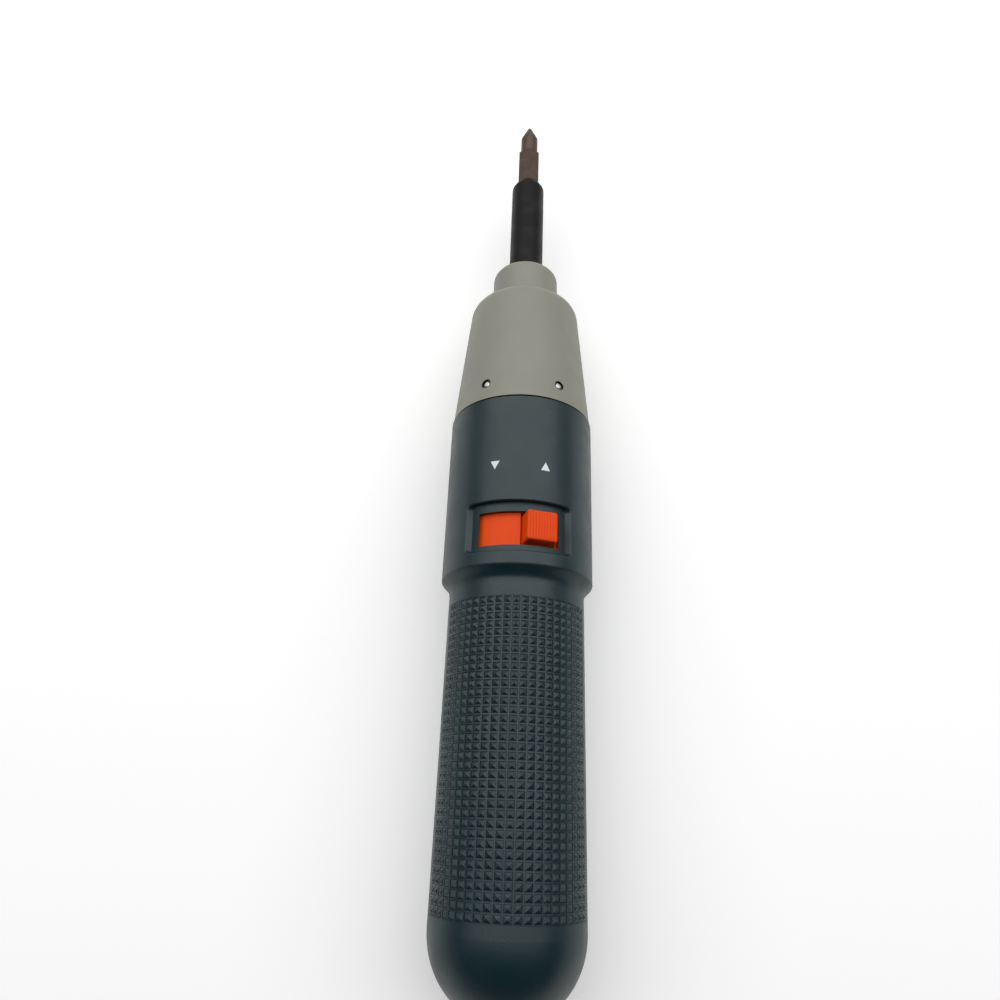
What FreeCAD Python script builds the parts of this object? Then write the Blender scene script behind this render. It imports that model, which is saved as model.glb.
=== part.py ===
import FreeCAD, Part
import math
import os
import Sketcher

# In-line cordless screwdriver, millimetres. Every piece is drawn about the tool's own axis, which is Y with
# the tip at +Y, the switch at +Z and the seam between nose and handle at Y = 0. The placement of each piece
# then lifts the axis by the collar radius and centres the length, so the tool lies on Z = 0.

SIZES = {
    # outside of the handle
    "collar_room": 0.8,
    "step_length": 2.3,
    "step_round": 3.0,
    "shell_wall": 2.4,
    "grip_flare": 0.3,
    "pattern_front": 4.6,
    "pattern_rear": 2.7,
    "pattern_relief": 0.25,
    "collar_edge": 0.8,
    "seam_gap": 0.5,
    "seam_depth": 0.7,
    "seam_edge": 0.15,
    # nose
    "nose_length": 39.8,
    "nose_inset": 0.25,
    "nose_wall": 2.35,
    "nose_root": 8.0,
    "nose_front_wall": 2.1,
    "nose_edge": 4.6,
    "nose_collar_radius": 9.5,
    "nose_collar_length": 12.7,
    "nose_collar_edge": 2.5,
    "nose_lip": 1.5,
    "spigot_length": 4.5,
    "spigot_wall": 1.6,
    "flange_height": 0.8,
    "flange_width": 1.5,
    "key_width": 2.4,
    "key_depth": 1.0,
    # clearances: still pieces, turning fits, free moving neighbours and stacked turning pieces
    "fit_gap": 0.15,
    "run_gap": 0.05,
    "free_gap": 0.3,
    "stack_gap": 0.4,
    # spindle, bit and bearing
    "spindle_radius": 5.0,
    "spindle_reach": 37.0,
    "mouth_length": 2.0,
    "mouth_depth": 1.1,
    "mouth_round": 1.5,
    "spindle_flange": 1.8,
    "bit_reach": 25.7,
    "bit_length": 60.0,
    "bit_hex_reach": 13.4,
    "bit_neck_radius": 2.7,
    "bit_cone": 5.0,
    "bit_point_radius": 0.6,
    "bit_flute": 8.4,
    "bit_core": 0.75,
    "bit_blade_length": 4.2,
    "bit_blade_thickness": 0.9,
    "hex_across": 6.35,
    "clip_wall": 0.55,
    "clip_width": 0.8,
    "clip_depth": 8.0,
    "bush_radius": 7.0,
    "bush_length": 12.9,
    "washer_thickness": 0.9,
    # automatic spindle lock
    "lock_wall": 2.0,
    "cam_depth": 2.0,
    "cam_length": 5.3,
    "roller_radius": 1.5,
    "roller_count": 4,
    "dog_angle": 56.0,
    "tenon_side": 5.5,
    # planetary gears
    "gear_module": 0.5,
    "sun_teeth": 9,
    "planet_teeth": 15,
    "planet_count": 3,
    "pressure_angle": 25.0,
    "tooth_rise": 0.8,
    "tooth_depth": 1.05,
    "gear_width": 4.5,
    "backlash": 0.06,
    "pin_radius": 1.25,
    "carrier_thickness": 2.0,
    "case_wall": 2.325,
    "case_lip": 1.6,
    "plate_thickness": 2.0,
    # motor
    "motor_inset": 0.6,
    "motor_length": 31.0,
    "motor_wall": 1.0,
    "shaft_radius": 1.0,
    "bearing_radius": 2.0,
    "magnet_thickness": 2.3,
    "air_gap": 0.7,
    "slot_width": 2.4,
    "cap_thickness": 2.4,
    "cap_boss": 2.2,
    "cap_skirt": 1.2,
    "cap_skirt_wall": 1.45,
    "commutator_gap": 3.9,
    "core_gap": 3.5,
    "winding_overhang": 2.6,
    "winding_room": 5.6,
    "magnet_overhang": 2.5,
    "magnet_angle": 130.0,
    "commutator_radius": 3.2,
    "commutator_length": 4.0,
    "brush_width": 2.2,
    "brush_length": 2.75,
    "terminal_thickness": 0.4,
    "terminal_reach": 4.6,
    "motor_screw_radius": 1.25,
    "motor_screw_offset": 7.0,
    # switch
    "window_width": 19.0,
    "window_length": 8.5,
    "window_setback": 5.0,
    "switch_gap": 10.1,
    "base_overlap": 2.0,
    "bulkhead": 2.1,
    "recess_depth": 1.4,
    "recess_edge": 0.4,
    "recess_corner": 1.5,
    "recess_angle": 78.6,
    "recess_lean": 18.0,
    "recess_front": 2.3,
    "recess_rear": 1.7,
    "button_angle": 16.8,
    "button_width": 7.9,
    "button_rise": 0.8,
    "button_draft": 0.5,
    "button_taper": 0.2,
    "button_edge": 0.6,
    "button_flange": 0.95,
    "rib_count": 10,
    "rib_pitch": 0.7,
    "rib_groove": 0.32,
    "rib_depth": 0.16,
    "shutter_thickness": 1.0,
    "base_wall": 1.2,
    "leaf_width": 4.4,
    "leaf_thickness": 0.3,
    "leaf_gap": 0.7,
    "bar_thickness": 0.55,
    # battery
    "cell_radius": 11.25,
    "cell_length": 42.0,
    "cell_room": 3.15,
    "cap_radius": 5.0,
    "cap_height": 1.0,
    "link_thickness": 0.4,
    "strap_width": 5.0,
    "strap_thickness": 0.4,
    "strap_reach": 6.0,
    "pad_thickness": 0.6,
    "pad_radius": 6.0,
    # screws that close the shells
    "screw_radius": 1.1,
    "screw_length": 9.5,
    "screw_seat": 4.2,
    "screw_head_radius": 1.9,
    "screw_head_height": 1.6,
    "boss_radius": 2.8,
    "boss_offset": 12.3,
    "boss_gap": 2.0,
    # charging contacts and wires
    "contact_angle": 31.5,
    "contact_setback": 5.3,
    "contact_radius": 0.85,
    "contact_recess": 1.35,
    "contact_depth": 0.8,
    "contact_rise": 0.5,
    "contact_round": 0.45,
    "contact_rim": 0.5,
    "contact_flange": 0.55,
    "lead_radius": 0.6,
    "lead_bend": 1.3,
    "lead_room": 0.8,
}

doc = FreeCAD.newDocument("screwdriver")
sheet = doc.addObject("Spreadsheet::Sheet", "Sizes")
for row, (alias, number) in enumerate(SIZES.items(), start=1):
    sheet.set(f"A{row}", alias)
    sheet.set(f"B{row}", str(number))
    sheet.setAlias(f"B{row}", alias)
doc.recompute()


class Size:
    """A number together with the sheet expression that drives it."""

    def __init__(self, value, text):
        self.value = value
        self.text = text

    def __add__(self, other):
        other = as_size(other)
        return Size(self.value + other.value, f"({self.text} + {other.text})")

    def __sub__(self, other):
        other = as_size(other)
        return Size(self.value - other.value, f"({self.text} - {other.text})")

    def __mul__(self, other):
        other = as_size(other)
        return Size(self.value * other.value, f"({self.text} * {other.text})")

    def __truediv__(self, other):
        other = as_size(other)
        return Size(self.value / other.value, f"({self.text} / {other.text})")

    def __neg__(self):
        return Size(-self.value, f"(0 - {self.text})")

    def __radd__(self, other):
        return as_size(other) + self

    def __rsub__(self, other):
        return as_size(other) - self


def as_size(number):
    if isinstance(number, Size):
        return number
    return Size(float(number), f"{float(number):.9f}" if number >= 0 else f"(0 - {-float(number):.9f})")


def size(alias):
    return Size(float(sheet.get(alias)), f"Sizes.{alias}")


def leg(long_side, short_side):
    """Third side of a right triangle."""
    value = math.sqrt(long_side.value ** 2 - short_side.value ** 2)
    return Size(value, f"sqrt({long_side.text}^2 - {short_side.text}^2)")


def spun(across, out, angle):
    """Place (across, out), drawn at the top of the tool, turned about its axis by an angle in degrees."""
    sine = math.sin(math.radians(angle))
    cosine = math.cos(math.radians(angle))
    return across * cosine + out * sine, out * cosine - across * sine


def bind(thing, path, number):
    thing.setExpression(path, as_size(number).text)


class Piece:
    """One body, drawn about the tool axis; cut=True takes material away."""

    def __init__(self, label, turn=0.0):
        self.label = label
        self.body = doc.addObject("PartDesign::Body", label)
        self.body.Label = label
        settle(self.body, FreeCAD.Rotation(FreeCAD.Vector(0, 1, 0), turn))

    def turned(self, outline, angle=360.0, cut=False):
        """Turn an outline of (along, out) points about the tool axis, centred on the top of the tool."""
        sketch = self.body.newObject("Sketcher::SketchObject", self.label + "_outline")
        plane = [item for item in self.body.Origin.OriginFeatures if item.Role == "YZ_Plane"][0]
        sketch.AttachmentSupport = [(plane, "")]
        sketch.MapMode = "FlatFace"
        draw(sketch, outline)
        kind = "PartDesign::Groove" if cut else "PartDesign::Revolution"
        feature = self.body.newObject(kind, self.label + "_turned")
        feature.Profile = sketch
        feature.ReferenceAxis = (sketch, ["H_Axis"])
        feature.Midplane = True
        feature.Angle = angle
        return feature

    def box(self, across, along, out, angle=0.0, cut=False):
        """Block between pairs of limits, drawn at the top of the tool and turned by the angle."""
        feature = self.add("Box", cut)
        bind(feature, "Length", across[1] - across[0])
        bind(feature, "Width", along[1] - along[0])
        bind(feature, "Height", out[1] - out[0])
        x, z = spun(as_size(across[0]), as_size(out[0]), angle)
        self.put(feature, x, along[0], z, FreeCAD.Rotation(FreeCAD.Vector(0, 1, 0), angle))
        return feature

    def drafted(self, half_width, along, out, taper, draft):
        """Block drawn at the top of the tool, narrower at its top, with a rear face that leans forwards."""
        feature = self.add("Wedge", False)
        for path, number in (("Xmin", -half_width), ("Xmax", half_width),
                             ("X2min", taper - half_width), ("X2max", half_width - taper),
                             ("Ymin", out[0]), ("Ymax", out[1]),
                             ("Zmin", -along[1]), ("Zmax", -along[0]),
                             ("Z2min", -along[1]), ("Z2max", -along[0] - draft)):
            bind(feature, path, number)
        self.put(feature, 0.0, 0.0, 0.0, FreeCAD.Rotation(FreeCAD.Vector(1, 0, 0), 90))
        return feature

    def rod(self, radius, along, across=0.0, out=0.0, cut=False):
        """Cylinder parallel to the tool axis."""
        feature = self.add("Cylinder", cut)
        bind(feature, "Radius", radius)
        bind(feature, "Height", along[1] - along[0])
        self.put(feature, across, along[0], out, FreeCAD.Rotation(FreeCAD.Vector(1, 0, 0), -90))
        return feature

    def post(self, radius, out, along, across=0.0, angle=0.0, cut=False):
        """Cylinder that stands on the tool axis, square to it."""
        feature = self.add("Cylinder", cut)
        bind(feature, "Radius", radius)
        bind(feature, "Height", out[1] - out[0])
        x, z = spun(as_size(across), as_size(out[0]), angle)
        self.put(feature, x, along, z, FreeCAD.Rotation(FreeCAD.Vector(0, 1, 0), angle))
        return feature

    def hexagon(self, across_flats, along, cut=False):
        """Hexagonal bar on the tool axis, with an edge at the top."""
        feature = self.add("Prism", cut)
        feature.Polygon = 6
        bind(feature, "Circumradius", across_flats / math.sqrt(3.0))
        bind(feature, "Height", along[1] - along[0])
        lie_down = FreeCAD.Rotation(FreeCAD.Vector(1, 0, 0), -90)
        edge_up = FreeCAD.Rotation(FreeCAD.Vector(0, 1, 0), 90)
        self.put(feature, 0.0, along[0], 0.0, edge_up.multiply(lie_down))
        return feature

    def cone(self, wide, narrow, along, across, cut=False):
        """Cone parallel to the tool axis, wide at the tip side."""
        feature = self.add("Cone", cut)
        bind(feature, "Radius1", narrow)
        bind(feature, "Radius2", wide)
        bind(feature, "Height", along[1] - along[0])
        self.put(feature, across, along[0], 0.0, FreeCAD.Rotation(FreeCAD.Vector(1, 0, 0), -90))
        return feature

    def flute(self, core, start, rim, stop, angle):
        """Square-edged groove that starts at the rim and slopes in to the core at its stop."""
        slope = math.degrees(math.atan2(rim.value - core.value, stop.value - start.value))
        feature = self.add("Box", True)
        for side in ("Length", "Height"):
            bind(feature, side, rim * 2.0)
        bind(feature, "Width", (stop - start) * 1.5)
        edge_down = FreeCAD.Rotation(FreeCAD.Vector(0, 1, 0), -45)
        lean = FreeCAD.Rotation(FreeCAD.Vector(1, 0, 0), -slope)
        spin = FreeCAD.Rotation(FreeCAD.Vector(0, 1, 0), angle)
        x, z = spun(as_size(0.0), rim, angle)
        self.put(feature, x, start, z, spin.multiply(lean).multiply(edge_down))
        return feature

    def repeat(self, feature, count, angle=360.0):
        """Copies of a feature round the tool axis."""
        pattern = self.body.newObject("PartDesign::PolarPattern", self.label + "_ring")
        pattern.Originals = [feature]
        axis = [item for item in self.body.Origin.OriginFeatures if item.Role == "Y_Axis"][0]
        pattern.Axis = (axis, [""])
        pattern.Angle = angle
        pattern.Occurrences = int(count.value)
        self.body.Tip = pattern

    def row(self, feature, count, length):
        """Copies of a feature side by side across the tool."""
        pattern = self.body.newObject("PartDesign::LinearPattern", self.label + "_row")
        pattern.Originals = [feature]
        axis = [item for item in self.body.Origin.OriginFeatures if item.Role == "X_Axis"][0]
        pattern.Direction = (axis, [""])
        bind(pattern, "Length", length)
        pattern.Occurrences = int(count.value)
        self.body.Tip = pattern

    def fillet(self, radius, chosen):
        """Round the edges that a test picks."""
        doc.recompute()
        base = self.body.Tip
        names = []
        for number, edge in enumerate(base.Shape.Edges, start=1):
            if not edge.Degenerated and chosen(edge):
                names.append(f"Edge{number}")
        feature = self.body.newObject("PartDesign::Fillet", self.label + "_fillet")
        feature.Base = (base, names)
        bind(feature, "Radius", radius)
        return feature

    def add(self, form, cut):
        kind = "PartDesign::Subtractive" if cut else "PartDesign::Additive"
        return self.body.newObject(kind + form, f"{self.label}_{form.lower()}")

    def put(self, feature, x, y, z, rotation):
        feature.Placement = FreeCAD.Placement(FreeCAD.Vector(), rotation)
        bind(feature, "Placement.Base.x", x)
        bind(feature, "Placement.Base.y", y)
        bind(feature, "Placement.Base.z", z)


def draw(sketch, outline):
    """Closed outline whose corners follow the sheet; a third entry "round" makes the run to it an arc."""
    corners = [(as_size(point[0]), as_size(point[1])) for point in outline]
    count = len(corners)
    ends = []
    for index in range(count):
        start = corners[index]
        stop = corners[(index + 1) % count]
        target = outline[(index + 1) % count]
        if len(target) == 3:
            wide, centre = (start, start[0].value) if start[1].value > 0 else (stop, stop[0].value)
            circle = Part.Circle(FreeCAD.Vector(centre, 0, 0), FreeCAD.Vector(0, 0, 1), wide[1].value)
            edge = sketch.addGeometry(Part.ArcOfCircle(circle, math.pi / 2, math.pi), False)
            sketch.addConstraint(Sketcher.Constraint("PointOnObject", edge, 3, -1))
            ends.append((1, 2) if wide is start else (2, 1))
        else:
            first = FreeCAD.Vector(start[0].value, start[1].value, 0)
            last = FreeCAD.Vector(stop[0].value, stop[1].value, 0)
            sketch.addGeometry(Part.LineSegment(first, last), False)
            ends.append((1, 2))
    for index in range(count):
        after = (index + 1) % count
        sketch.addConstraint(Sketcher.Constraint("Coincident", index, ends[index][1], after, ends[after][0]))
    for index, (along, out) in enumerate(corners):
        pin_point(sketch, "DistanceX", index, ends[index][0], along, -2)
        pin_point(sketch, "DistanceY", index, ends[index][0], out, -1)


def pin_point(sketch, kind, edge, end, number, axis):
    if number.value == 0:
        sketch.addConstraint(Sketcher.Constraint("PointOnObject", edge, end, axis))
        return
    which = sketch.addConstraint(Sketcher.Constraint(kind, edge, end, number.value))
    name = f"{kind}_{edge}"
    sketch.renameConstraint(which, name)
    sketch.setExpression("Constraints." + name, number.text)


def settle(thing, rotation):
    """Lift the tool axis onto its lying height and centre the length on the origin."""
    thing.Placement = FreeCAD.Placement(FreeCAD.Vector(), rotation)
    bind(thing, "Placement.Base.y", seam_place)
    bind(thing, "Placement.Base.z", collar_radius)


def ring(start, stop, inner, outer):
    """Outline of a plain ring."""
    return [(start, inner), (start, outer), (stop, outer), (stop, inner)]


def group(label, pieces):
    """Identical solids kept as one named node."""
    compound = doc.addObject("Part::Compound", label)
    compound.Label = label
    compound.Links = [piece.body for piece in pieces]
    return compound


# how far a cut runs past the faces that it opens
past = 1.0

# driving values used in many places
shell_wall = size("shell_wall")
fit_gap = size("fit_gap")
run_gap = size("run_gap")
free_gap = size("free_gap")
stack_gap = size("stack_gap")
spindle_radius = size("spindle_radius")
cell_radius = size("cell_radius")
shaft_radius = size("shaft_radius")
lead_radius = size("lead_radius")

# radii that follow from the gears outwards, and from the cells outwards
ring_pitch = size("gear_module") * (size("sun_teeth") + size("planet_teeth") * 2.0) / 2.0
ring_root = ring_pitch + size("gear_module") * size("tooth_depth")
case_radius = ring_root + size("case_wall")
lock_radius = case_radius - size("case_lip")
lock_bore = lock_radius - size("lock_wall")
cam_radius = lock_bore - size("cam_depth")
carrier_radius = lock_bore - stack_gap
motor_radius = case_radius - size("motor_inset")
lead_orbit = case_radius + size("lead_room")
nose_end_radius = case_radius + fit_gap + size("nose_wall")
spigot_inner = lead_orbit + lead_radius + run_gap + size("collar_room")
spigot_outer = spigot_inner + size("spigot_wall")
collar_inner = spigot_outer + fit_gap
collar_radius = collar_inner + shell_wall
nose_base_radius = collar_radius - size("nose_inset")
grip_inner = cell_radius + size("cell_room")
grip_radius = grip_inner + shell_wall
butt_radius = grip_radius + size("grip_flare")

# places along the axis, from the tip back to the gear case
nose_length = size("nose_length")
nose_front = nose_length + size("nose_collar_length")
spindle_front = nose_front + size("spindle_reach")
tip = spindle_front + size("bit_reach")
cavity_front = nose_length - size("nose_front_wall")
flange_front = cavity_front - size("washer_thickness") - free_gap
cam_front = flange_front - size("spindle_flange")
cam_rear = cam_front - size("cam_length")
output_plate_front = cam_rear - stack_gap
output_plate_rear = output_plate_front - size("carrier_thickness")
output_gear_front = output_plate_rear - stack_gap
output_gear_rear = output_gear_front - size("gear_width")
first_plate_front = output_gear_rear - stack_gap
first_plate_rear = first_plate_front - size("carrier_thickness")
first_gear_front = first_plate_rear - stack_gap
first_gear_rear = first_gear_front - size("gear_width")
motor_plate_front = first_gear_rear - stack_gap * 2.0
motor_front = motor_plate_front - size("plate_thickness")
motor_rear = motor_front - size("motor_length")

# places along the axis, in the handle
base_front = motor_rear - size("switch_gap")
window_front = base_front - size("base_overlap")
window_rear = window_front - size("window_length")
base_rear = window_rear - size("base_overlap")
collar_rear = window_rear - size("window_setback")
grip_front = collar_rear - size("step_length")
pattern_front = grip_front - size("pattern_front")
bulkhead_front = base_rear - free_gap
bulkhead_rear = bulkhead_front - size("bulkhead")
battery_front = bulkhead_rear - lead_radius - run_gap * 4.0
cell_length = size("cell_length")
battery_rear = battery_front - cell_length * 2.0 - size("link_thickness")
dome_centre = battery_rear + leg(grip_inner, cell_radius) - free_gap
butt = dome_centre - butt_radius
pattern_rear = dome_centre + size("pattern_rear")
tail_screw = battery_rear - size("strap_thickness") - size("pad_thickness") - size("boss_radius")
front_screw = motor_rear - size("terminal_reach") - size("boss_gap")
seam_place = (-(butt + tip)) / 2.0

# places across the tool
shutter_radius = collar_inner - free_gap
shutter_inner = shutter_radius - size("shutter_thickness")
base_radius = shutter_inner - free_gap
button_width = size("button_width")
button_angle = size("button_angle").value
flange_half = button_width / 2.0 + size("button_flange")
flange_top = leg(shutter_inner, flange_half) - free_gap
flange_low = flange_top - size("button_flange")
leaf_reach = flange_low - free_gap
leaf_top = leg(leaf_reach, size("leaf_width") / 2.0)
leaf_low = leaf_top - size("leaf_thickness")
run_outer = leaf_low - size("leaf_gap")
run_inner = run_outer - size("bar_thickness")
brake_inner = leaf_reach + run_gap
brake_outer = brake_inner + size("bar_thickness")
strap_inner = cell_radius + free_gap * 2.0
strap_outer = strap_inner + size("strap_thickness")


def nose_at(along):
    """Outside radius of the nose's cone."""
    return nose_base_radius - (nose_base_radius - nose_end_radius) / nose_length * along


def plain_rib(rear, front, inner, wall):
    """Inner outline of one ring rib, from its rear to its front."""
    return [(rear, wall), (rear, inner), (front, inner), (front, wall)]


def grip_at(along):
    """Outside radius of the slightly flared grip."""
    share = (grip_front - along) / (grip_front - dome_centre)
    return grip_radius + size("grip_flare") * share


def shell(label, turn, switch_seats):
    """Half of the handle: the outer skin, the ribs that hold motor and cells, and the screw bosses."""
    rib = 2.0
    motor_seat = motor_radius + fit_gap
    cell_seat = cell_radius + fit_gap
    spigot_groove = spigot_outer + size("flange_height") + fit_gap
    flange_rear = size("spigot_length") - 0.9
    edge = size("seam_edge")
    relief = size("pattern_relief")
    outline = [
        (0.0, collar_radius - edge),
        (-edge, collar_radius),
        (collar_rear, collar_radius),
        (grip_front, grip_radius),
        (pattern_front, grip_at(pattern_front)),
        (pattern_front, grip_at(pattern_front) - relief),
        (pattern_rear, grip_at(pattern_rear) - relief),
        (pattern_rear, grip_at(pattern_rear)),
        (dome_centre, butt_radius),
        (butt, 0.0, "round"),
        (dome_centre - grip_inner, 0.0),
        (dome_centre, grip_inner, "round"),
    ]
    for share in (1.75, 1.25, 0.75, 0.25):
        middle = battery_front - cell_length * share
        outline += plain_rib(middle - rib / 2, middle + rib / 2, cell_seat, grip_inner)
    bulkhead_hole = cell_radius - 2.2
    outline += plain_rib(bulkhead_rear, bulkhead_front, bulkhead_hole, collar_inner)[1:]
    outline.insert(-3, (bulkhead_rear, grip_inner))
    if switch_seats:
        wall = size("base_wall")
        seat = base_radius - 3.0
        outline += plain_rib(base_rear, base_rear + wall, seat, collar_inner)
        outline += plain_rib(base_front - wall, base_front, seat, collar_inner)
    stop = motor_rear - fit_gap
    outline += plain_rib(stop - rib, stop, motor_radius - 3.0, collar_inner)
    outline += plain_rib(motor_rear + rib, motor_rear + 2.0 * rib, motor_seat, collar_inner)
    front_rib = -(size("spigot_length") + 1.5)
    outline += plain_rib(front_rib - rib, front_rib, motor_seat, collar_inner)
    groove_rear = -(flange_rear + fit_gap)
    groove_front = -(flange_rear - size("flange_width") - fit_gap)
    outline += plain_rib(groove_rear, groove_front, spigot_groove, collar_inner)
    outline.append((0.0, collar_inner))
    half = Piece(label, turn)
    half.turned(outline, 180.0)
    half.fillet(size("collar_edge"), lambda edge: is_circle(edge, collar_radius.value, collar_rear.value))
    half.fillet(size("step_round"), lambda edge: is_circle(edge, grip_radius.value, grip_front.value))
    boss = size("boss_radius")
    offset = size("boss_offset")
    skin = 0.3
    front_top = leg(collar_radius, offset + boss) - skin
    tail_top = leg(butt_radius, dome_centre - tail_screw + boss) - skin
    half.post(boss, (0.0, front_top), front_screw, offset)
    half.post(boss, (0.0, front_top), front_screw, -offset)
    half.post(boss, (0.0, tail_top), tail_screw)
    return half


def screw_places():
    offset = size("boss_offset")
    return [(offset, front_screw), (-offset, front_screw), (0.0, tail_screw)]


def switch_side_shell():
    half = shell("switch_side_shell", 0.0, False)
    recess_floor = collar_radius - size("recess_depth")
    recess = ring(*recess_limits(), recess_floor, collar_radius + past)
    half.turned(recess, size("recess_angle").value, cut=True)
    # sloping side walls, which rise from the edges of the recess floor
    lean = size("recess_lean").value
    foot, low = spun(as_size(0.0), recess_floor, size("recess_angle").value / 2.0 + lean)
    room = size("recess_depth") + past
    for side, across in ((1.0, (foot, foot + room)), (-1.0, (-foot - room, -foot))):
        half.box(across, recess_limits(), (low, low + room), -side * lean, cut=True)
    half.fillet(size("recess_corner"), is_recess_corner)
    half.fillet(size("recess_edge"), is_recess_rim)
    reach = size("window_width") / 2.0
    window = (window_rear, window_front)
    half.box((-reach, reach), window, (base_radius - 4.0, collar_radius + past), cut=True)
    depth = size("screw_length") - size("screw_seat") + 0.5
    for across, along in screw_places():
        half.post(size("screw_radius") + run_gap, (-past, depth), along, across, cut=True)
    # channels through the ribs for the wires from the charging contacts
    for angle in (-1.0, 1.0):
        across, out = spun(as_size(0.0), lead_orbit, angle * size("contact_angle").value)
        half.rod(lead_radius + free_gap, (motor_rear - 4.0, -size("spigot_length")), across, out, cut=True)
    notch = 2.0
    through = (bulkhead_rear - past / 2, bulkhead_front + free_gap / 1.5)
    half.box((-notch, notch), through, (run_inner - 3.0, run_outer + 0.5), cut=True)
    return half


def recess_limits():
    """Rear and front of the switch recess."""
    return window_rear - size("recess_rear"), window_front + size("recess_front")


def is_recess_corner(edge):
    """True for the straight edges in the corners between the end walls and the side walls of the recess."""
    box = edge.BoundBox
    ends = [end.value for end in recess_limits()]
    across_wall = any(abs(box.YMin - end) < 0.01 and abs(box.YMax - end) < 0.01 for end in ends)
    return across_wall and isinstance(edge.Curve, Part.Line)


def is_recess_rim(edge):
    """True for the edges where the switch recess meets the outside of the collar."""
    box = edge.BoundBox
    rear, front = recess_limits()
    middle = edge.valueAt((edge.FirstParameter + edge.LastParameter) / 2.0)
    inside = box.YMin > rear.value - 0.01 and box.YMax < front.value + 0.01
    return inside and abs(math.hypot(middle.x, middle.z) - collar_radius.value) < 0.01


def back_shell():
    half = shell("back_shell", 180.0, True)
    seat = size("screw_seat")
    for across, along in screw_places():
        half.post(size("screw_radius") + fit_gap, (-past, seat + past), along, across, cut=True)
        half.post(size("screw_head_radius") + fit_gap, (seat, collar_radius + past), along, across, cut=True)
    # groove for the battery strap
    reach = size("strap_width") / 2.0 + free_gap
    rear = battery_rear - size("strap_thickness") - fit_gap
    front = base_front + size("strap_reach") + 0.5
    half.box((-reach, reach), (rear, front), (cell_radius - 0.5, strap_outer + free_gap), cut=True)
    return half


def nose_cone():
    spigot_end = -size("spigot_length")
    flange_rear = spigot_end + 0.9
    flange_radius = spigot_outer + size("flange_height") - fit_gap
    root = size("nose_root")
    skirt = nose_at(root) - size("nose_wall")
    hole = spindle_radius + 0.5
    lip = nose_front - size("nose_lip")
    bush = size("bush_radius") + run_gap
    collar = size("nose_collar_radius")
    seam_gap = size("seam_gap")
    seam_floor = collar_radius - size("seam_depth")
    nose = Piece("nose_cone")
    nose.turned([
        (0.0, seam_floor),
        (seam_gap, seam_floor),
        (seam_gap, nose_at(seam_gap)),
        (nose_length, nose_end_radius),
        (nose_length, collar),
        (nose_front, collar),
        (nose_front, hole),
        (lip, hole),
        (lip, bush),
        (cavity_front, bush),
        (cavity_front, case_radius + fit_gap),
        (root, skirt),
        (root / 2.0, skirt),
        (root / 4.0, spigot_inner),
        (spigot_end, spigot_inner),
        (spigot_end, spigot_outer),
        (flange_rear, spigot_outer),
        (flange_rear, flange_radius),
        (flange_rear + size("flange_width"), flange_radius),
        (flange_rear + size("flange_width"), spigot_outer),
        (0.0, spigot_outer),
    ])
    shoulder = nose_end_radius.value
    nose.fillet(size("nose_edge"), lambda edge: is_circle(edge, shoulder, nose_length.value))
    nose.fillet(size("nose_collar_edge"), lambda edge: is_circle(edge, collar.value, nose_front.value))
    # two keys that stop the gear case from turning
    half_key = size("key_width") / 2.0
    inner = case_radius - size("key_depth") + fit_gap
    outer = case_radius + 2.6
    for angle in (90.0, -90.0):
        nose.box((-half_key, half_key), (motor_plate_front + 2.0, cam_rear), (inner, outer), angle)
    # stepped holes for the charging contacts
    along = size("contact_setback")
    floor = contact_floor()
    top = collar_radius + past
    hole = size("contact_radius") + run_gap
    for sign in (1.0, -1.0):
        angle = sign * size("contact_angle").value
        nose.post(hole, (spigot_inner - past * 2, top), along, 0.0, angle, True)
        nose.post(size("contact_recess"), (floor, top), along, 0.0, angle, True)
    return nose


def contact_floor():
    """Radius of the bottom of the recess round a charging contact."""
    return nose_at(size("contact_setback")) - size("contact_depth")


def is_circle(edge, radius, along):
    curve = edge.Curve
    if not isinstance(curve, Part.Circle):
        return False
    return abs(curve.Radius - radius) < 1e-4 and abs(curve.Center.y - along) < 1e-4


def charge_contacts():
    pins = []
    along = size("contact_setback")
    inner = lead_orbit + lead_radius + run_gap
    top = contact_floor() + size("contact_rise")
    flange_top_out = nose_at(size("nose_root")) - size("nose_wall") - fit_gap
    flange = (flange_top_out - size("contact_flange"), flange_top_out)
    for sign in (1.0, -1.0):
        pin = Piece("contact_pin", sign * size("contact_angle").value)
        pin.post(size("contact_radius"), (inner, top), along)
        pin.fillet(size("contact_round"), lambda edge: edge.BoundBox.ZMin > top.value - 0.01)
        pin.post(size("contact_radius") + size("contact_rim"), flange, along)
        pins.append(pin)
    return group("charge_contacts", pins)


def housing_screws():
    screws = []
    seat = -size("screw_seat")
    head = size("screw_head_radius")
    for across, along in screw_places():
        screw = Piece("housing_screw")
        screw.post(head, (seat - size("screw_head_height"), seat), along, across)
        screw.post(size("screw_radius"), (seat, seat + size("screw_length")), along, across)
        slot = 0.35
        bottom = seat - size("screw_head_height")
        for wide, deep in ((head * 0.7, slot), (slot, head * 0.7)):
            wide = as_size(wide)
            deep = as_size(deep)
            centre = as_size(across)
            arm = (centre - wide, centre + wide)
            screw.box(arm, (along - deep, along + deep), (bottom - past, bottom + 0.8), cut=True)
        screws.append(screw)
    return group("housing_screws", screws)


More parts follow.
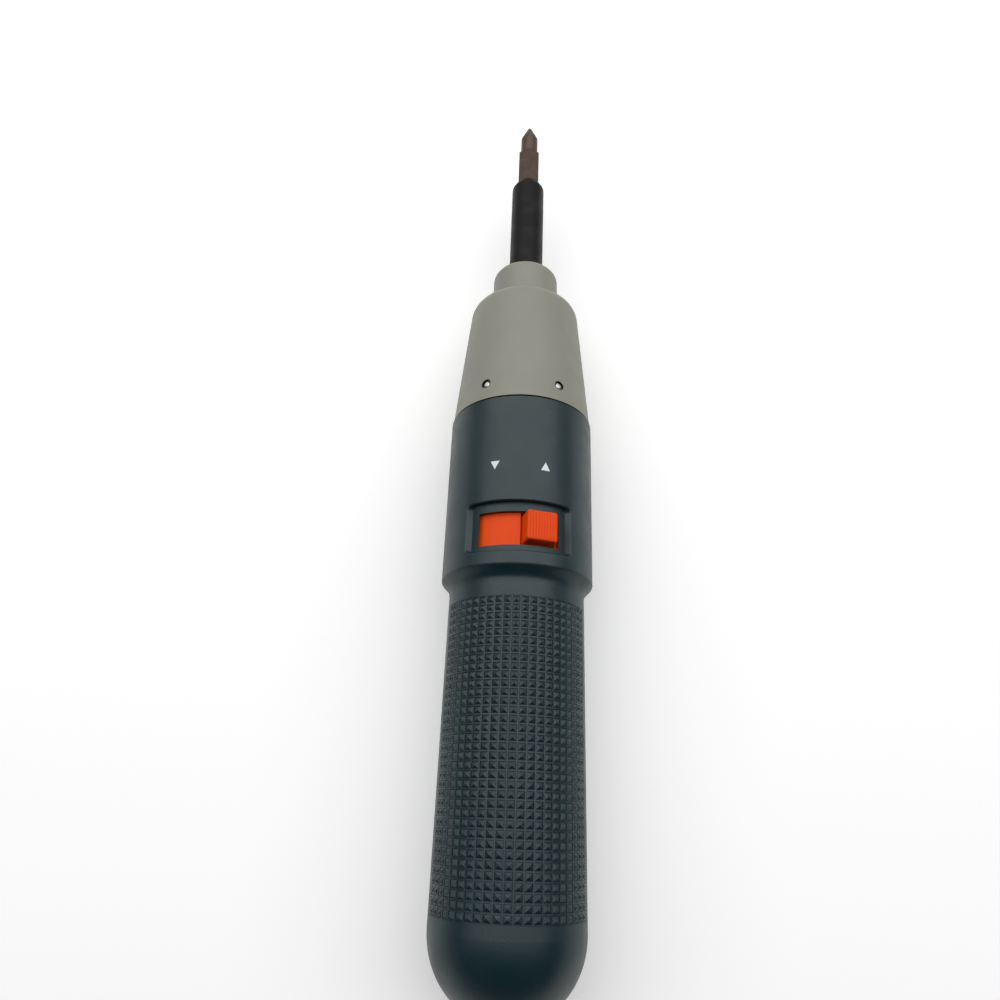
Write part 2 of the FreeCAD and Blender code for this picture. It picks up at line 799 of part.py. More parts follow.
def driver_bit():
    rear = tip - size("bit_length")
    hex_front = spindle_front + size("bit_hex_reach")
    neck = size("bit_neck_radius")
    cone_rear = tip - size("bit_cone")
    blade = size("bit_blade_length")
    hex_rear = rear + blade * 2.0
    bit = Piece("driver_bit")
    bit.turned([
        (rear + blade, 0.0),
        (rear + blade, neck),
        (cone_rear, neck),
        (tip, size("bit_point_radius")),
        (tip, 0.0),
    ])
    bit.hexagon(size("hex_across"), (hex_rear, hex_front))
    half_blade = size("bit_blade_thickness") / 2.0
    bit.box((-neck, neck), (rear, rear + blade + 0.5), (-half_blade, half_blade))
    # four flutes, deepest at the tip, leave the crossed wings of the point
    for quarter in range(4):
        bit.flute(size("bit_core"), tip - size("bit_flute"), neck, tip, quarter * 90.0 + 45.0)
    return bit


def bit_socket():
    """Across flats of the hex socket and its depth along the axis."""
    return size("hex_across") + run_gap * 2.0, tip - size("bit_length") - free_gap


def output_spindle():
    across, floor = bit_socket()
    mouth = spindle_front - size("mouth_length")
    spindle = Piece("output_spindle")
    spindle.turned([
        (cam_rear, 0.0),
        (cam_rear, cam_radius),
        (flange_front, cam_radius),
        (flange_front, spindle_radius),
        (mouth, spindle_radius),
        (spindle_front, spindle_radius - size("mouth_depth")),
        (spindle_front, 0.0),
    ])
    spindle.fillet(size("mouth_round"), lambda edge: is_circle(edge, spindle_radius.value, mouth.value))
    # flats that the lock rollers jam on
    flat = cam_flat()
    for turn in range(int(size("roller_count").value)):
        angle = (turn + 0.5) * 360.0 / size("roller_count").value
        beyond = (flat, cam_radius + past)
        spindle.box((-cam_radius, cam_radius), (cam_rear - past, cam_front), beyond, angle, cut=True)
    half_tenon = size("tenon_side") / 2.0
    spindle.box((-half_tenon, half_tenon), (output_plate_rear, cam_rear + 0.5), (-half_tenon, half_tenon))
    spindle.hexagon(across, (floor, spindle_front + past), cut=True)
    clip_front = spindle_front - size("clip_depth")
    clip_rear = clip_front - size("clip_width") - run_gap * 2.0
    spindle.turned(ring(clip_rear, clip_front, shaft_radius, clip_outer() + run_gap), cut=True)
    return spindle


def cam_flat():
    """Distance of the cam flats from the axis."""
    return lock_bore - size("roller_radius") * 2.0 - run_gap * 2.0


def clip_outer():
    across, floor = bit_socket()
    return across / math.sqrt(3.0) + run_gap + size("clip_wall")


def bit_clip():
    outer = clip_outer()
    inner = outer - size("clip_wall")
    front = spindle_front - size("clip_depth") - run_gap
    rear = front - size("clip_width")
    clip = Piece("bit_clip")
    clip.turned(ring(rear, front, inner, outer), 320.0)
    return clip


def front_bush():
    rear = cavity_front + 0.2
    bush = Piece("front_bush")
    bush.turned(ring(rear, rear + size("bush_length"), spindle_radius + run_gap, size("bush_radius")))
    return bush


def thrust_washer():
    washer = Piece("thrust_washer")
    rear = cavity_front - size("washer_thickness")
    washer.turned(ring(rear, cavity_front, spindle_radius + free_gap, cam_radius + 0.4))
    return washer


def lock_ring():
    front = cavity_front - fit_gap
    lip_rear = cam_front - 0.1
    outer = lock_radius
    bore = lock_bore
    hole = cam_radius + 0.6
    lock = Piece("lock_ring")
    lock.turned([
        (cam_rear, outer),
        (front, outer),
        (front, hole),
        (lip_rear, hole),
        (lip_rear, bore),
        (cam_rear, bore),
    ])
    return lock


def lock_rollers():
    radius = size("roller_radius")
    orbit = lock_bore - radius - run_gap
    count = size("roller_count")
    rollers = []
    for turn in range(int(count.value)):
        roller = Piece("lock_roller", (turn + 0.5) * 360.0 / count.value)
        roller.rod(radius, (cam_rear + 0.2, cam_front - stack_gap), 0.0, orbit)
        rollers.append(roller)
    return group("lock_rollers", rollers)


def planet_places():
    """Planet centres: angle in the gear plane, and place across and out from the axis."""
    orbit = gear_orbit()
    count = int(size("planet_count").value)
    places = []
    for turn in range(count):
        angle = math.tau * turn / count
        places.append((angle, orbit * math.cos(angle), orbit * -math.sin(angle)))
    return places


def gear_orbit():
    return size("gear_module") * (size("sun_teeth") + size("planet_teeth")) / 2.0


def output_carrier():
    carrier = Piece("output_carrier")
    radius = carrier_radius
    half_hole = size("tenon_side") / 2.0 + run_gap
    carrier.turned([(output_plate_rear, 0.0), (output_plate_rear, radius), (output_plate_front, radius),
                    (output_plate_front, 0.0)])
    dog_inner = cam_radius + free_gap
    dog_outer = lock_bore - free_gap
    dog = carrier.turned(
        ring(output_plate_front - 0.5, cam_front - 1.0, dog_inner, dog_outer), size("dog_angle").value
    )
    carrier.repeat(dog, size("roller_count"))
    hole = (-half_hole, half_hole)
    carrier.box(hole, (output_plate_rear - past, output_plate_front + past), hole, cut=True)
    pin_holes(carrier, output_plate_rear, output_plate_front)
    return carrier


def pin_holes(carrier, rear, front):
    for angle, across, out in planet_places():
        carrier.rod(size("pin_radius") + run_gap / 5.0, (rear - 0.5, front + 0.5), across, out, cut=True)


def planet_pins(label, rear, front):
    pins = []
    for angle, across, out in planet_places():
        pin = Piece("planet_pin")
        pin.rod(size("pin_radius"), (rear, front), across, out)
        pins.append(pin)
    return group(label, pins)


def involute(angle):
    return math.tan(angle) - angle


def gear_face(teeth, inner, outer, slack, turn):
    """Face of a toothed wheel: involute flanks between an inner and an outer radius.

    slack narrows each tooth at the pitch circle, and a negative one widens it, as a ring's spaces need.
    """
    pitch = size("gear_module").value * teeth / 2.0
    pressure = math.radians(size("pressure_angle").value)
    base = pitch * math.cos(pressure)
    half = math.pi / (2.0 * teeth) - slack / (2.0 * pitch) + involute(pressure)
    low = max(inner, base)
    middle = (low + outer) / 2.0

    def spread(radius):
        return half - involute(math.acos(min(1.0, base / radius)))

    def point(radius, angle):
        return FreeCAD.Vector(radius * math.cos(angle), radius * math.sin(angle), 0)

    edges = []
    step = math.tau / teeth
    for tooth in range(teeth):
        axis = turn + tooth * step
        if inner < low:
            edges.append(Part.LineSegment(point(inner, axis - spread(low)), point(low, axis - spread(low))))
        edges.append(Part.Arc(*[point(r, axis - spread(r)) for r in (low, middle, outer)]))
        edges.append(Part.Arc(*[point(outer, axis + spread(outer) * side) for side in (-1, 0, 1)]))
        edges.append(Part.Arc(*[point(r, axis + spread(r)) for r in (outer, middle, low)]))
        if inner < low:
            edges.append(Part.LineSegment(point(low, axis + spread(low)), point(inner, axis + spread(low))))
        gap = (axis + spread(low), axis + step / 2.0, axis + step - spread(low))
        edges.append(Part.Arc(*[point(inner, angle) for angle in gap]))
    return Part.Face(Part.Wire([edge.toShape() for edge in edges]))


def round_face(radius):
    circle = Part.Circle(FreeCAD.Vector(), FreeCAD.Vector(0, 0, 1), radius.value)
    return Part.Face(Part.Wire(circle.toShape()))


def toothed(label, face, rear, front):
    """Toothed solid between two places along the axis."""
    wheel = doc.addObject("Part::Feature", label)
    wheel.Label = label
    wheel.Shape = face.extrude(FreeCAD.Vector(0, 0, front.value - rear.value))
    wheel.Placement = FreeCAD.Placement(FreeCAD.Vector(), FreeCAD.Rotation(FreeCAD.Vector(1, 0, 0), -90))
    bind(wheel, "Placement.Base.y", seam_place + rear)
    bind(wheel, "Placement.Base.z", collar_radius)
    return wheel


def tooth_limits(teeth):
    """Root and tip radius of stub teeth."""
    module = size("gear_module")
    pitch = module * teeth / 2.0
    root = pitch - module * size("tooth_depth")
    top = pitch + module * size("tooth_rise")
    return root.value, top.value


def sun_face():
    teeth = int(size("sun_teeth").value)
    root, top = tooth_limits(teeth)
    return gear_face(teeth, root, top, size("backlash").value, 0.0)


def planets(name, rear, front):
    """The planet wheels of one stage, each a piece of its own, in mesh with sun and ring."""
    teeth = int(size("planet_teeth").value)
    root, top = tooth_limits(teeth)
    orbit = gear_orbit().value
    wheels = []
    for letter, (angle, across, out) in zip("abc", planet_places()):
        wheel = gear_face(teeth, root, top, size("backlash").value, angle + math.pi + math.pi / teeth)
        face = wheel.cut(round_face(size("pin_radius") + run_gap))
        face.translate(FreeCAD.Vector(orbit * math.cos(angle), orbit * math.sin(angle), 0))
        wheels.append(toothed(f"{name}_{letter}", face.Faces[0], rear, front))
    return wheels


def first_carrier():
    plate = Piece("first_carrier_plate")
    radius = carrier_radius
    plate.turned([(first_plate_rear, 0.0), (first_plate_rear, radius), (first_plate_front, radius),
                  (first_plate_front, 0.0)])
    pin_holes(plate, first_plate_rear, first_plate_front)
    sun = toothed("first_carrier_sun", sun_face(), first_plate_front - 0.5, output_gear_front - 0.2)
    carrier = doc.addObject("Part::Fuse", "first_carrier")
    carrier.Label = "first_carrier"
    carrier.Base = plate.body
    carrier.Tool = sun
    return carrier


def gear_case():
    ring_teeth = int(size("sun_teeth").value + 2 * size("planet_teeth").value)
    top = ring_pitch - size("gear_module") * size("tooth_rise")
    relief = ring_root + 0.2
    teeth_front = output_gear_front + 0.2
    lock_seat = lock_radius + run_gap
    blank = Piece("gear_case_blank")
    blank.turned([
        (motor_plate_front, top - 1.0),
        (motor_plate_front, case_radius),
        (cavity_front, case_radius),
        (cavity_front, lock_seat),
        (cam_rear, lock_seat),
        (cam_rear, relief),
        (teeth_front, relief),
        (teeth_front, top - 1.0),
    ])
    half_key = size("key_width") / 2.0 + fit_gap
    for angle in (90.0, -90.0):
        blank.box((-half_key, half_key), (motor_plate_front - 1.0, cam_rear + fit_gap),
                  (case_radius - size("key_depth"), case_radius + past), angle, cut=True)
    space_face = gear_face(ring_teeth, top.value, ring_root.value, -size("backlash").value, 0.0)
    space = toothed("gear_case_space", space_face, motor_plate_front - 1.0, teeth_front + 1.0)
    case = doc.addObject("Part::Cut", "gear_case")
    case.Label = "gear_case"
    case.Base = blank.body
    case.Tool = space
    return case


def motor_plate():
    plate = Piece("motor_plate")
    plate.turned(ring(motor_front, motor_plate_front, bearing_housing() + fit_gap, case_radius))
    shank = size("motor_screw_radius")
    for sign in (1.0, -1.0):
        across = size("motor_screw_offset") * sign
        sink = (motor_plate_front - 1.2, motor_plate_front)
        plate.rod(shank + fit_gap, (motor_front - past, motor_plate_front + past), across, 0.0, cut=True)
        plate.cone(shank * 1.8 + fit_gap, shank + fit_gap, sink, across, cut=True)
    return plate


def bearing_housing():
    """Outside radius of the tube round a motor bearing."""
    return size("bearing_radius") + size("motor_wall")


def motor_screws():
    shank = size("motor_screw_radius")
    screws = []
    for sign in (1.0, -1.0):
        across = size("motor_screw_offset") * sign
        screw = Piece("motor_screw")
        screw.rod(shank, (motor_front - 2.4, motor_plate_front - 0.2), across)
        screw.cone(shank * 1.8, shank, (motor_plate_front - 1.2, motor_plate_front), across)
        screws.append(screw)
    return group("motor_screws", screws)


def motor_can():
    inner = motor_radius - size("motor_wall")
    front_inner = motor_front - size("motor_wall")
    bearing = size("bearing_radius")
    boss_front = motor_plate_front - stack_gap
    can = Piece("motor_can")
    can.turned([
        (cap_front(), inner),
        (cap_front(), motor_radius),
        (motor_front, motor_radius),
        (motor_front, bearing_housing()),
        (boss_front, bearing_housing()),
        (boss_front, bearing),
        (front_inner, bearing),
        (front_inner, inner),
    ])
    for sign in (1.0, -1.0):
        across = size("motor_screw_offset") * sign
        hole = size("motor_screw_radius") + run_gap
        can.rod(hole, (front_inner - past, motor_front + past), across, 0.0, cut=True)
    return can


def cap_front():
    return motor_rear + size("cap_thickness")


def core_limits():
    """Rear and front of the armature core."""
    return commutator_limits()[1] + size("core_gap"), motor_front - size("winding_room")


def commutator_limits():
    rear = motor_rear + size("commutator_gap")
    return rear, rear + size("commutator_length")


def motor_magnets():
    outer = motor_radius - size("motor_wall") - run_gap
    inner = outer - size("magnet_thickness")
    rear, front = core_limits()
    over = size("magnet_overhang")
    magnets = []
    for angle in (90.0, -90.0):
        magnet = Piece("magnet", angle)
        magnet.turned(ring(rear - over, front + over, inner, outer), size("magnet_angle").value)
        magnets.append(magnet)
    return group("motor_magnets", magnets)


def core_radius():
    return motor_radius - size("motor_wall") - run_gap - size("magnet_thickness") - size("air_gap")


def armature_core():
    rear, front = core_limits()
    core = Piece("armature_core")
    core.turned(ring(rear, front, shaft_radius, core_radius()))
    half = size("slot_width") / 2.0
    deep = (slot_floor(), core_radius() + past)
    slot = core.box((-half, half), (rear - past, front + past), deep, cut=True)
    core.repeat(slot, as_size(3))
    return core


def slot_floor():
    return size("commutator_radius")


def armature_winding():
    rear, front = core_limits()
    overhang = size("winding_overhang")
    outer = core_radius() - 0.9
    inner = shaft_radius + 1.2
    half = size("slot_width") / 2.0 - 0.2
    winding = Piece("armature_winding")
    winding.turned(ring(front + 0.1, front + overhang, inner, outer))
    bar = winding.box((-half, half), (rear - 0.5, front + 0.5), (slot_floor() + 0.2, outer))
    winding.repeat(bar, as_size(3))
    winding.turned(ring(rear - overhang, rear - 0.1, inner, outer))
    return winding


def commutator():
    rear, front = commutator_limits()
    drum = Piece("commutator")
    drum.turned(ring(rear, front, shaft_radius, size("commutator_radius")))
    slit = 0.25
    deep = (shaft_radius + 1.2, size("commutator_radius") + past)
    slot = drum.box((-slit, slit), (rear - past, front + past), deep, cut=True)
    drum.repeat(slot, as_size(3))
    return drum


def motor_shaft():
    shaft = Piece("motor_shaft")
    rear = motor_rear - size("cap_boss") + 0.6
    front = first_gear_front
    shaft.turned([(rear, 0.0), (rear, shaft_radius), (front, shaft_radius), (front, 0.0)])
    return shaft


def motor_pinion():
    face = sun_face().cut(round_face(shaft_radius)).Faces[0]
    return toothed("motor_pinion", face, first_gear_rear, first_gear_front)


def motor_end_cap():
    inner = motor_radius - size("motor_wall")
    bearing = size("bearing_radius")
    boss_rear = motor_rear - size("cap_boss")
    skirt_front = cap_front() + size("cap_skirt")
    skirt_outer = inner - run_gap
    skirt_inner = skirt_outer - size("cap_skirt_wall")
    cap = Piece("motor_end_cap")
    cap.turned([
        (boss_rear, bearing),
        (boss_rear, bearing_housing()),
        (motor_rear, bearing_housing()),
        (motor_rear, motor_radius),
        (cap_front(), motor_radius),
        (cap_front(), skirt_outer),
        (skirt_front, skirt_outer),
        (skirt_front, skirt_inner),
        (cap_front(), skirt_inner),
        (cap_front(), bearing),
    ])
    low, high = terminal_limits()
    half = terminal_half() + run_gap
    for angle in (90.0, -90.0):
        slot = (low - run_gap, high + run_gap)
        cap.box((-half, half), (motor_rear - past, cap_front() + past / 2), slot, angle, cut=True)
    return cap


def terminal_limits():
    """Inner and outer distance of the motor terminals from the axis."""
    low = size("commutator_radius") + run_gap + size("brush_length") + run_gap
    return low, low + size("terminal_thickness")


def terminal_half():
    return size("brush_width") / 2.0 + 0.4


def brush_limits():
    rear, front = commutator_limits()
    middle = (rear + front) / 2.0
    return middle - size("brush_width") / 2.0, middle + size("brush_width") / 2.0


def motor_bushes():
    inner = shaft_radius + run_gap
    outer = size("bearing_radius")
    front = Piece("motor_front_bush")
    front.turned(ring(motor_front - size("motor_wall"), motor_plate_front - stack_gap, inner, outer))
    rear = Piece("motor_rear_bush")
    rear.turned(ring(motor_rear - size("cap_boss") + 0.2, cap_front(), inner, outer))
    return group("motor_bushes", [front, rear])


def motor_brushes():
    half = size("brush_width") / 2.0
    inner = size("commutator_radius") + run_gap
    brushes = []
    for angle in (90.0, -90.0):
        brush = Piece("brush")
        brush.box((-half, half), brush_limits(), (inner, inner + size("brush_length")), angle)
        brushes.append(brush)
    return group("motor_brushes", brushes)


def motor_terminals():
    half = terminal_half()
    terminals = []
    length = (motor_rear - size("terminal_reach"), brush_limits()[1])
    for angle in (90.0, -90.0):
        strip = Piece("terminal")
        strip.box((-half, half), length, terminal_limits(), angle)
        terminals.append(strip)
    return group("motor_terminals", terminals)


def button_limits():
    return window_rear + free_gap, window_front - free_gap


def press_button():
    half = button_width / 2.0
    top = collar_radius + size("button_rise")
    button = Piece("press_button", button_angle)
    button.box((-flange_half, flange_half), button_limits(), (flange_low, flange_top))
    button.drafted(half, button_limits(), (flange_low, top), size("button_taper"), size("button_draft"))
    button.fillet(size("button_edge"), lambda edge: edge.BoundBox.ZMax > flange_top.value + 0.1)
    # ribs on the top, cut as a row of grooves along the tool
    count = size("rib_count")
    pitch = size("rib_pitch")
    width = size("rib_groove")
    start = -(pitch * (count - 1.0) + width) / 2.0
    deep = (top - size("rib_depth"), top + past)
    groove = button.box((start, start + width), button_limits(), deep, cut=True)
    button.row(groove, count, pitch * (count - 1.0))
    return button


def slide_shutter():
    reach = size("window_width") / 2.0
    cover = math.degrees(math.asin(reach.value / shutter_radius.value)) + 2.0
    span = 2.0 * (button_angle + cover)
    half = button_width / 2.0 + free_gap
    rear, front = button_limits()
    shutter = Piece("slide_shutter", button_angle)
    shutter.turned(ring(base_rear + 0.1, base_front - 0.1, shutter_inner, shutter_radius), span)
    opening = (rear - free_gap, front + free_gap)
    shutter.box((-half, half), opening, (shutter_inner - 4.0, shutter_radius + past), cut=True)
    return shutter


def switch_base():
    wall = size("base_wall")
    floor = run_inner - 0.1
    low = floor - 1.8
    base = Piece("switch_base")
    base.turned([
        (base_rear, low),
        (base_rear, base_radius),
        (base_rear + wall, base_radius),
        (base_rear + wall, floor),
        (base_front - wall, floor),
        (base_front - wall, base_radius),
        (base_front, base_radius),
        (base_front, low),
    ], 180.0)
    # slot in the front wall for the contact strips, and one in the rear wall for the battery tail
    sunk = floor - 0.3
    slot = ring(base_front - wall - 0.1, base_front + 0.1, sunk, leaf_reach + 0.1)
    base.turned(slot, 2.0 * (contact_tail_angle() + 8.0), cut=True)
    reach = tail_half() + 0.2
    base.box((-reach, reach), (base_rear - 1.0, base_rear + wall + 0.1), (sunk, run_outer + 0.2), cut=True)
    return base


def contact_tail_angle():
    return size("contact_angle").value


def tail_half():
    return as_size(1.5)


def leaf_contacts():
    half = size("leaf_width") / 2.0
    leaves = []
    for sign in (1.0, -1.0):
        leaf = Piece("leaf", sign * button_angle)
        leaf.box((-half, half), (base_rear + size("base_wall") + 0.2, lead_meeting()), (leaf_low, leaf_top))
        leaves.append(leaf)
    return group("leaf_contacts", leaves)


def lead_meeting():
    """Where the wires meet the contact strips, in front of the switch base."""
    return base_front + 1.3


def run_bar():
    wall = size("base_wall")
    rear = base_rear + wall + 1.0
    front = base_front - wall - 1.0
    leg_rear = battery_front + run_gap
    half = tail_half()
    bar = Piece("run_bar")
    bar.turned(ring(rear, front, run_inner, run_outer), 2.0 * (contact_tail_angle() + 6.0))
    bar.box((-half, half), (leg_rear, rear + 0.5), (run_inner, run_outer - 0.05))
    bar.box((-half, half), (leg_rear, leg_rear + 0.4), (-half, run_outer - 0.05))
    tail = (front - 0.5, lead_meeting())
    bar.box((-half, half), tail, (run_inner, run_outer - 0.05), -contact_tail_angle())
    return bar


def brake_bar():
    first = -(button_angle + 8.0)
    last = 180.0
    rear = base_rear + size("base_wall")
    bar = Piece("brake_bar", (first + last) / 2.0)
    bar.turned(ring(rear, rear + 0.9, brake_inner, brake_outer), last - first)
    half = 1.0
    middle = (last - first) / 2.0
    bar.box((-half, half), (rear, rear + 0.9), (strap_outer + run_gap, brake_outer - 0.1), middle)
    return bar


def cells():
    cap = size("cap_radius")
    low = battery_front - size("cap_height")
    front = Piece("front_cell")
    middle = battery_front - cell_length
    front.turned([(middle, 0.0), (middle, cell_radius), (low, cell_radius), (low, cap), (battery_front, cap),
                  (battery_front, 0.0)])
    start = middle - size("link_thickness")
    rear = Piece("rear_cell")
    rear_low = start - size("cap_height")
    rear.turned([(battery_rear, 0.0), (battery_rear, cell_radius), (rear_low, cell_radius), (rear_low, cap),
                 (start, cap), (start, 0.0)])
    link = Piece("cell_link")
    half = cap - 1.5
    link.box((-half, half), (start, middle), (-half, half))
    return [front, rear, link]


def minus_strap():
    half = size("strap_width") / 2.0
    thick = size("strap_thickness")
    rear = battery_rear - thick
    strap = Piece("minus_strap", 180.0)
    strap.box((-half, half), (rear, base_front + size("strap_reach")), (strap_inner, strap_outer))
    strap.box((-half, half), (rear, battery_rear), (-half, strap_outer))
    return strap


def battery_pad():
    front = battery_rear - size("strap_thickness")
    rear = front - size("pad_thickness")
    radius = size("pad_radius")
    pad = Piece("battery_pad")
    pad.turned([(rear, 0.0), (rear, radius), (front, radius), (front, 0.0)])
    return pad


def wire(points, bend):
    """Round wire along straight runs joined by arcs."""
    corners = [FreeCAD.Vector(*point) for point in points]
    edges = []
    start = corners[0]
    for before, corner, after in zip(corners, corners[1:], corners[2:]):
        back = (before - corner).normalize()
        ahead = (after - corner).normalize()
        half_turn = (math.pi - back.getAngle(ahead)) / 2.0
        reach = bend * math.tan(half_turn)
        middle = corner + (back + ahead).normalize() * (bend / math.cos(half_turn) - bend)
        arc = Part.Arc(corner + back * reach, middle, corner + ahead * reach)
        edges.append(Part.LineSegment(start, corner + back * reach).toShape())
        edges.append(arc.toShape())
        start = corner + ahead * reach
    edges.append(Part.LineSegment(start, corners[-1]).toShape())
    path = Part.Wire(edges)
    circle = Part.Circle(corners[0], corners[1] - corners[0], lead_radius.value)
    return path.makePipeShell([Part.Wire(circle.toShape())], True, False)


def leads(label, routes):
    """Insulated wires inside the housing, one node for the pair."""
    pair = doc.addObject("Part::Feature", label)
    pair.Label = label
    pair.Shape = Part.Compound([wire(route, size("lead_bend").value) for route in routes])
    settle(pair, FreeCAD.Rotation())
    return pair


def motor_leads():
    """From each motor terminal up to its contact leaf."""
    low, high = terminal_limits()
    side = (low.value + high.value) / 2.0
    start = motor_rear.value - size("terminal_reach").value - run_gap.value
    end = lead_meeting().value + run_gap.value
    leaf_out = (leaf_low.value + leaf_top.value) / 2.0
    across, out = spun(as_size(0.0), as_size(leaf_out), button_angle)
    middle = (start + end) / 2.0
    routes = []
    for sign in (1.0, -1.0):
        routes.append([
            (sign * side, start, 0.0),
            (sign * side, middle, 0.0),
            (sign * across.value, middle, out.value),
            (sign * across.value, end, out.value),
        ])
    return leads("motor_leads", routes)


def charge_leads():
    """From the left contact to the run bar, and from the right contact down to the battery strap."""
    angle = size("contact_angle").value
    across, out = spun(as_size(0.0), lead_orbit, angle)
    tail_across, tail_out = spun(as_size(0.0), (run_inner + run_outer) / 2.0, contact_tail_angle())
    end = lead_meeting().value + run_gap.value
    start = size("contact_setback").value + 0.6
    strap_side = size("strap_width").value / 2.0 + run_gap.value
    strap_out = -(strap_inner.value + strap_outer.value) / 2.0
    turn = front_screw.value
    side = (size("boss_offset") - size("boss_radius")).value - 1.0
    plus = [
        (-across.value, start, out.value),
        (-across.value, turn + 1.5, out.value),
        (-tail_across.value, end + 2.2, tail_out.value),
        (-tail_across.value, end, tail_out.value),
    ]
    minus = [
        (across.value, start, out.value),
        (across.value, turn + 3.0, out.value),
        (side, turn, 0.76 * side),
        (side, turn, -0.94 * side),
        (0.74 * side, turn, strap_out),
        (strap_side, turn, strap_out),
    ]
    return leads("charge_leads", [plus, minus])


pieces = [
    switch_side_shell(),
    back_shell(),
    nose_cone(),
    housing_screws(),
    charge_contacts(),
    driver_bit(),
    bit_clip(),
    output_spindle(),
    front_bush(),
    thrust_washer(),
    lock_ring(),
    lock_rollers(),
    output_carrier(),
    planet_pins("output_planet_pins", output_gear_rear, output_plate_front),
    *planets("output_planet", output_gear_rear, output_gear_front),
    first_carrier(),
    planet_pins("first_planet_pins", first_gear_rear, first_plate_front),
    *planets("first_planet", first_gear_rear, first_gear_front),
    gear_case(),
    motor_plate(),
    motor_screws(),
    motor_can(),
    motor_magnets(),
    motor_end_cap(),
    motor_bushes(),
    motor_brushes(),
    motor_terminals(),
    motor_shaft(),
    motor_pinion(),
    armature_core(),
    armature_winding(),
    commutator(),
    press_button(),
    slide_shutter(),
    switch_base(),
    leaf_contacts(),
    run_bar(),
    brake_bar(),
    *cells(),
    minus_strap(),
    battery_pad(),
    motor_leads(),
    charge_leads(),
]
doc.recompute()

failed = [item.Name for item in doc.Objects if "Invalid" in item.State or "Error" in item.State]
if failed:
    raise RuntimeError(f"these objects failed: {failed}")

nodes = [piece.body if isinstance(piece, Piece) else piece for piece in pieces]
for node in nodes:
    if node.Shape.isNull() or not node.Shape.isValid() or not node.Shape.Solids:
        raise RuntimeError(f"{node.Label} has no valid solid")

os.makedirs("parts", exist_ok=True)
for node in nodes:
    node.Shape.exportStep(f"parts/{node.Label}.step")
print(len(nodes), "nodes written")
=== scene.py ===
import bmesh
import bpy
import math
from mathutils import Matrix, Vector


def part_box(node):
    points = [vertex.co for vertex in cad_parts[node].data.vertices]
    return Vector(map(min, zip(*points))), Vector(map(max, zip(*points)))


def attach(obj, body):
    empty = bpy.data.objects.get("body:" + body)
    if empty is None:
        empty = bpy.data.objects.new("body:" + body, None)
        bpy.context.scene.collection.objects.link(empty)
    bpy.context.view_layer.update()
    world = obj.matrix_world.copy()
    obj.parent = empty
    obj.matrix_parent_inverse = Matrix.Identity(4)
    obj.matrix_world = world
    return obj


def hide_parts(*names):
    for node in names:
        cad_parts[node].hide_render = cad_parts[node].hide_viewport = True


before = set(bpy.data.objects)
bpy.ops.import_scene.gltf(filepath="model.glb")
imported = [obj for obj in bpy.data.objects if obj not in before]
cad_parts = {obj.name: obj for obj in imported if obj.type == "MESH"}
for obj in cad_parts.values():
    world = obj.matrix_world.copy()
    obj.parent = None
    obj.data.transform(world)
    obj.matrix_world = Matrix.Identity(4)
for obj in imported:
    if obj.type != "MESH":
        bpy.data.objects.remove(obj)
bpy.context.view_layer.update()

# Battery. Two sub-C cells stand in line in the handle, each a steel can in a shrunk PVC sleeve.
# Nickel strips are spot-welded between them and along to the switch, and a foam disc takes up
# the play at the end.

mm = 0.001


def linear(code):
    """Linear colour from an sRGB hex value."""
    toe = 0.04045
    shares = [int(code[place:place + 2], 16) / 255 for place in (1, 3, 5)]
    tones = [share / 12.92 if share <= toe else ((share + 0.055) / 1.055) ** 2.4 for share in shares]
    return tones + [1.0]


def add(tree, kind, inputs=None, **settings):
    """Add a node with its settings; an input that is a socket is linked, any other is a value."""
    node = tree.nodes.new(kind)
    for name, value in settings.items():
        setattr(node, name, value)
    for name, value in (inputs or {}).items():
        if isinstance(value, bpy.types.NodeSocket):
            tree.links.new(value, node.inputs[name])
        else:
            node.inputs[name].default_value = value
    return node


def new_tree(name):
    """New material and its emptied node tree."""
    material = bpy.data.materials.new(name)
    material.use_nodes = True
    material.node_tree.nodes.clear()
    return material, material.node_tree


def surface(name, dark, light, patch, grain, rough, height, metallic=0.0, draw=(1, 1, 1), shine=0.5):
    """Material that drifts between two tones in patches, with a grain in its gloss and height.

    patch, grain and height are in millimetres, rough is the range of roughness, draw stretches
    the grain and shine is the specular level.
    """
    material, tree = new_tree(name)
    place = add(tree, "ShaderNodeTexCoord").outputs["Object"]
    drawn = add(tree, "ShaderNodeMapping",
                {"Vector": place, "Scale": [1 / share for share in draw]})
    patches = add(tree, "ShaderNodeTexNoise",
                  {"Vector": place, "Scale": 1 / (patch * mm), "Detail": 3.0})
    grains = add(tree, "ShaderNodeTexNoise",
                 {"Vector": drawn.outputs["Vector"], "Scale": 1 / (grain * mm), "Detail": 2.0})
    tone = add(tree, "ShaderNodeMixRGB",
               {"Fac": patches.outputs["Fac"], "Color1": linear(dark), "Color2": linear(light)})
    gloss = add(tree, "ShaderNodeMapRange",
                {"Value": grains.outputs["Fac"], "From Min": 0.3, "From Max": 0.7,
                 "To Min": rough[0], "To Max": rough[1]})
    bump = add(tree, "ShaderNodeBump", {"Height": grains.outputs["Fac"], "Distance": height * mm})
    shader = add(tree, "ShaderNodeBsdfPrincipled",
                 {"Base Color": tone.outputs["Color"], "Roughness": gloss.outputs["Result"],
                  "Normal": bump.outputs["Normal"], "Metallic": metallic,
                  "Specular IOR Level": shine})
    add(tree, "ShaderNodeOutputMaterial", {"Surface": shader.outputs["BSDF"]})
    return material


def dress(material, *names):
    """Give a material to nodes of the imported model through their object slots."""
    for name in names:
        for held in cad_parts[name].material_slots:
            held.link = "OBJECT"
            held.material = material


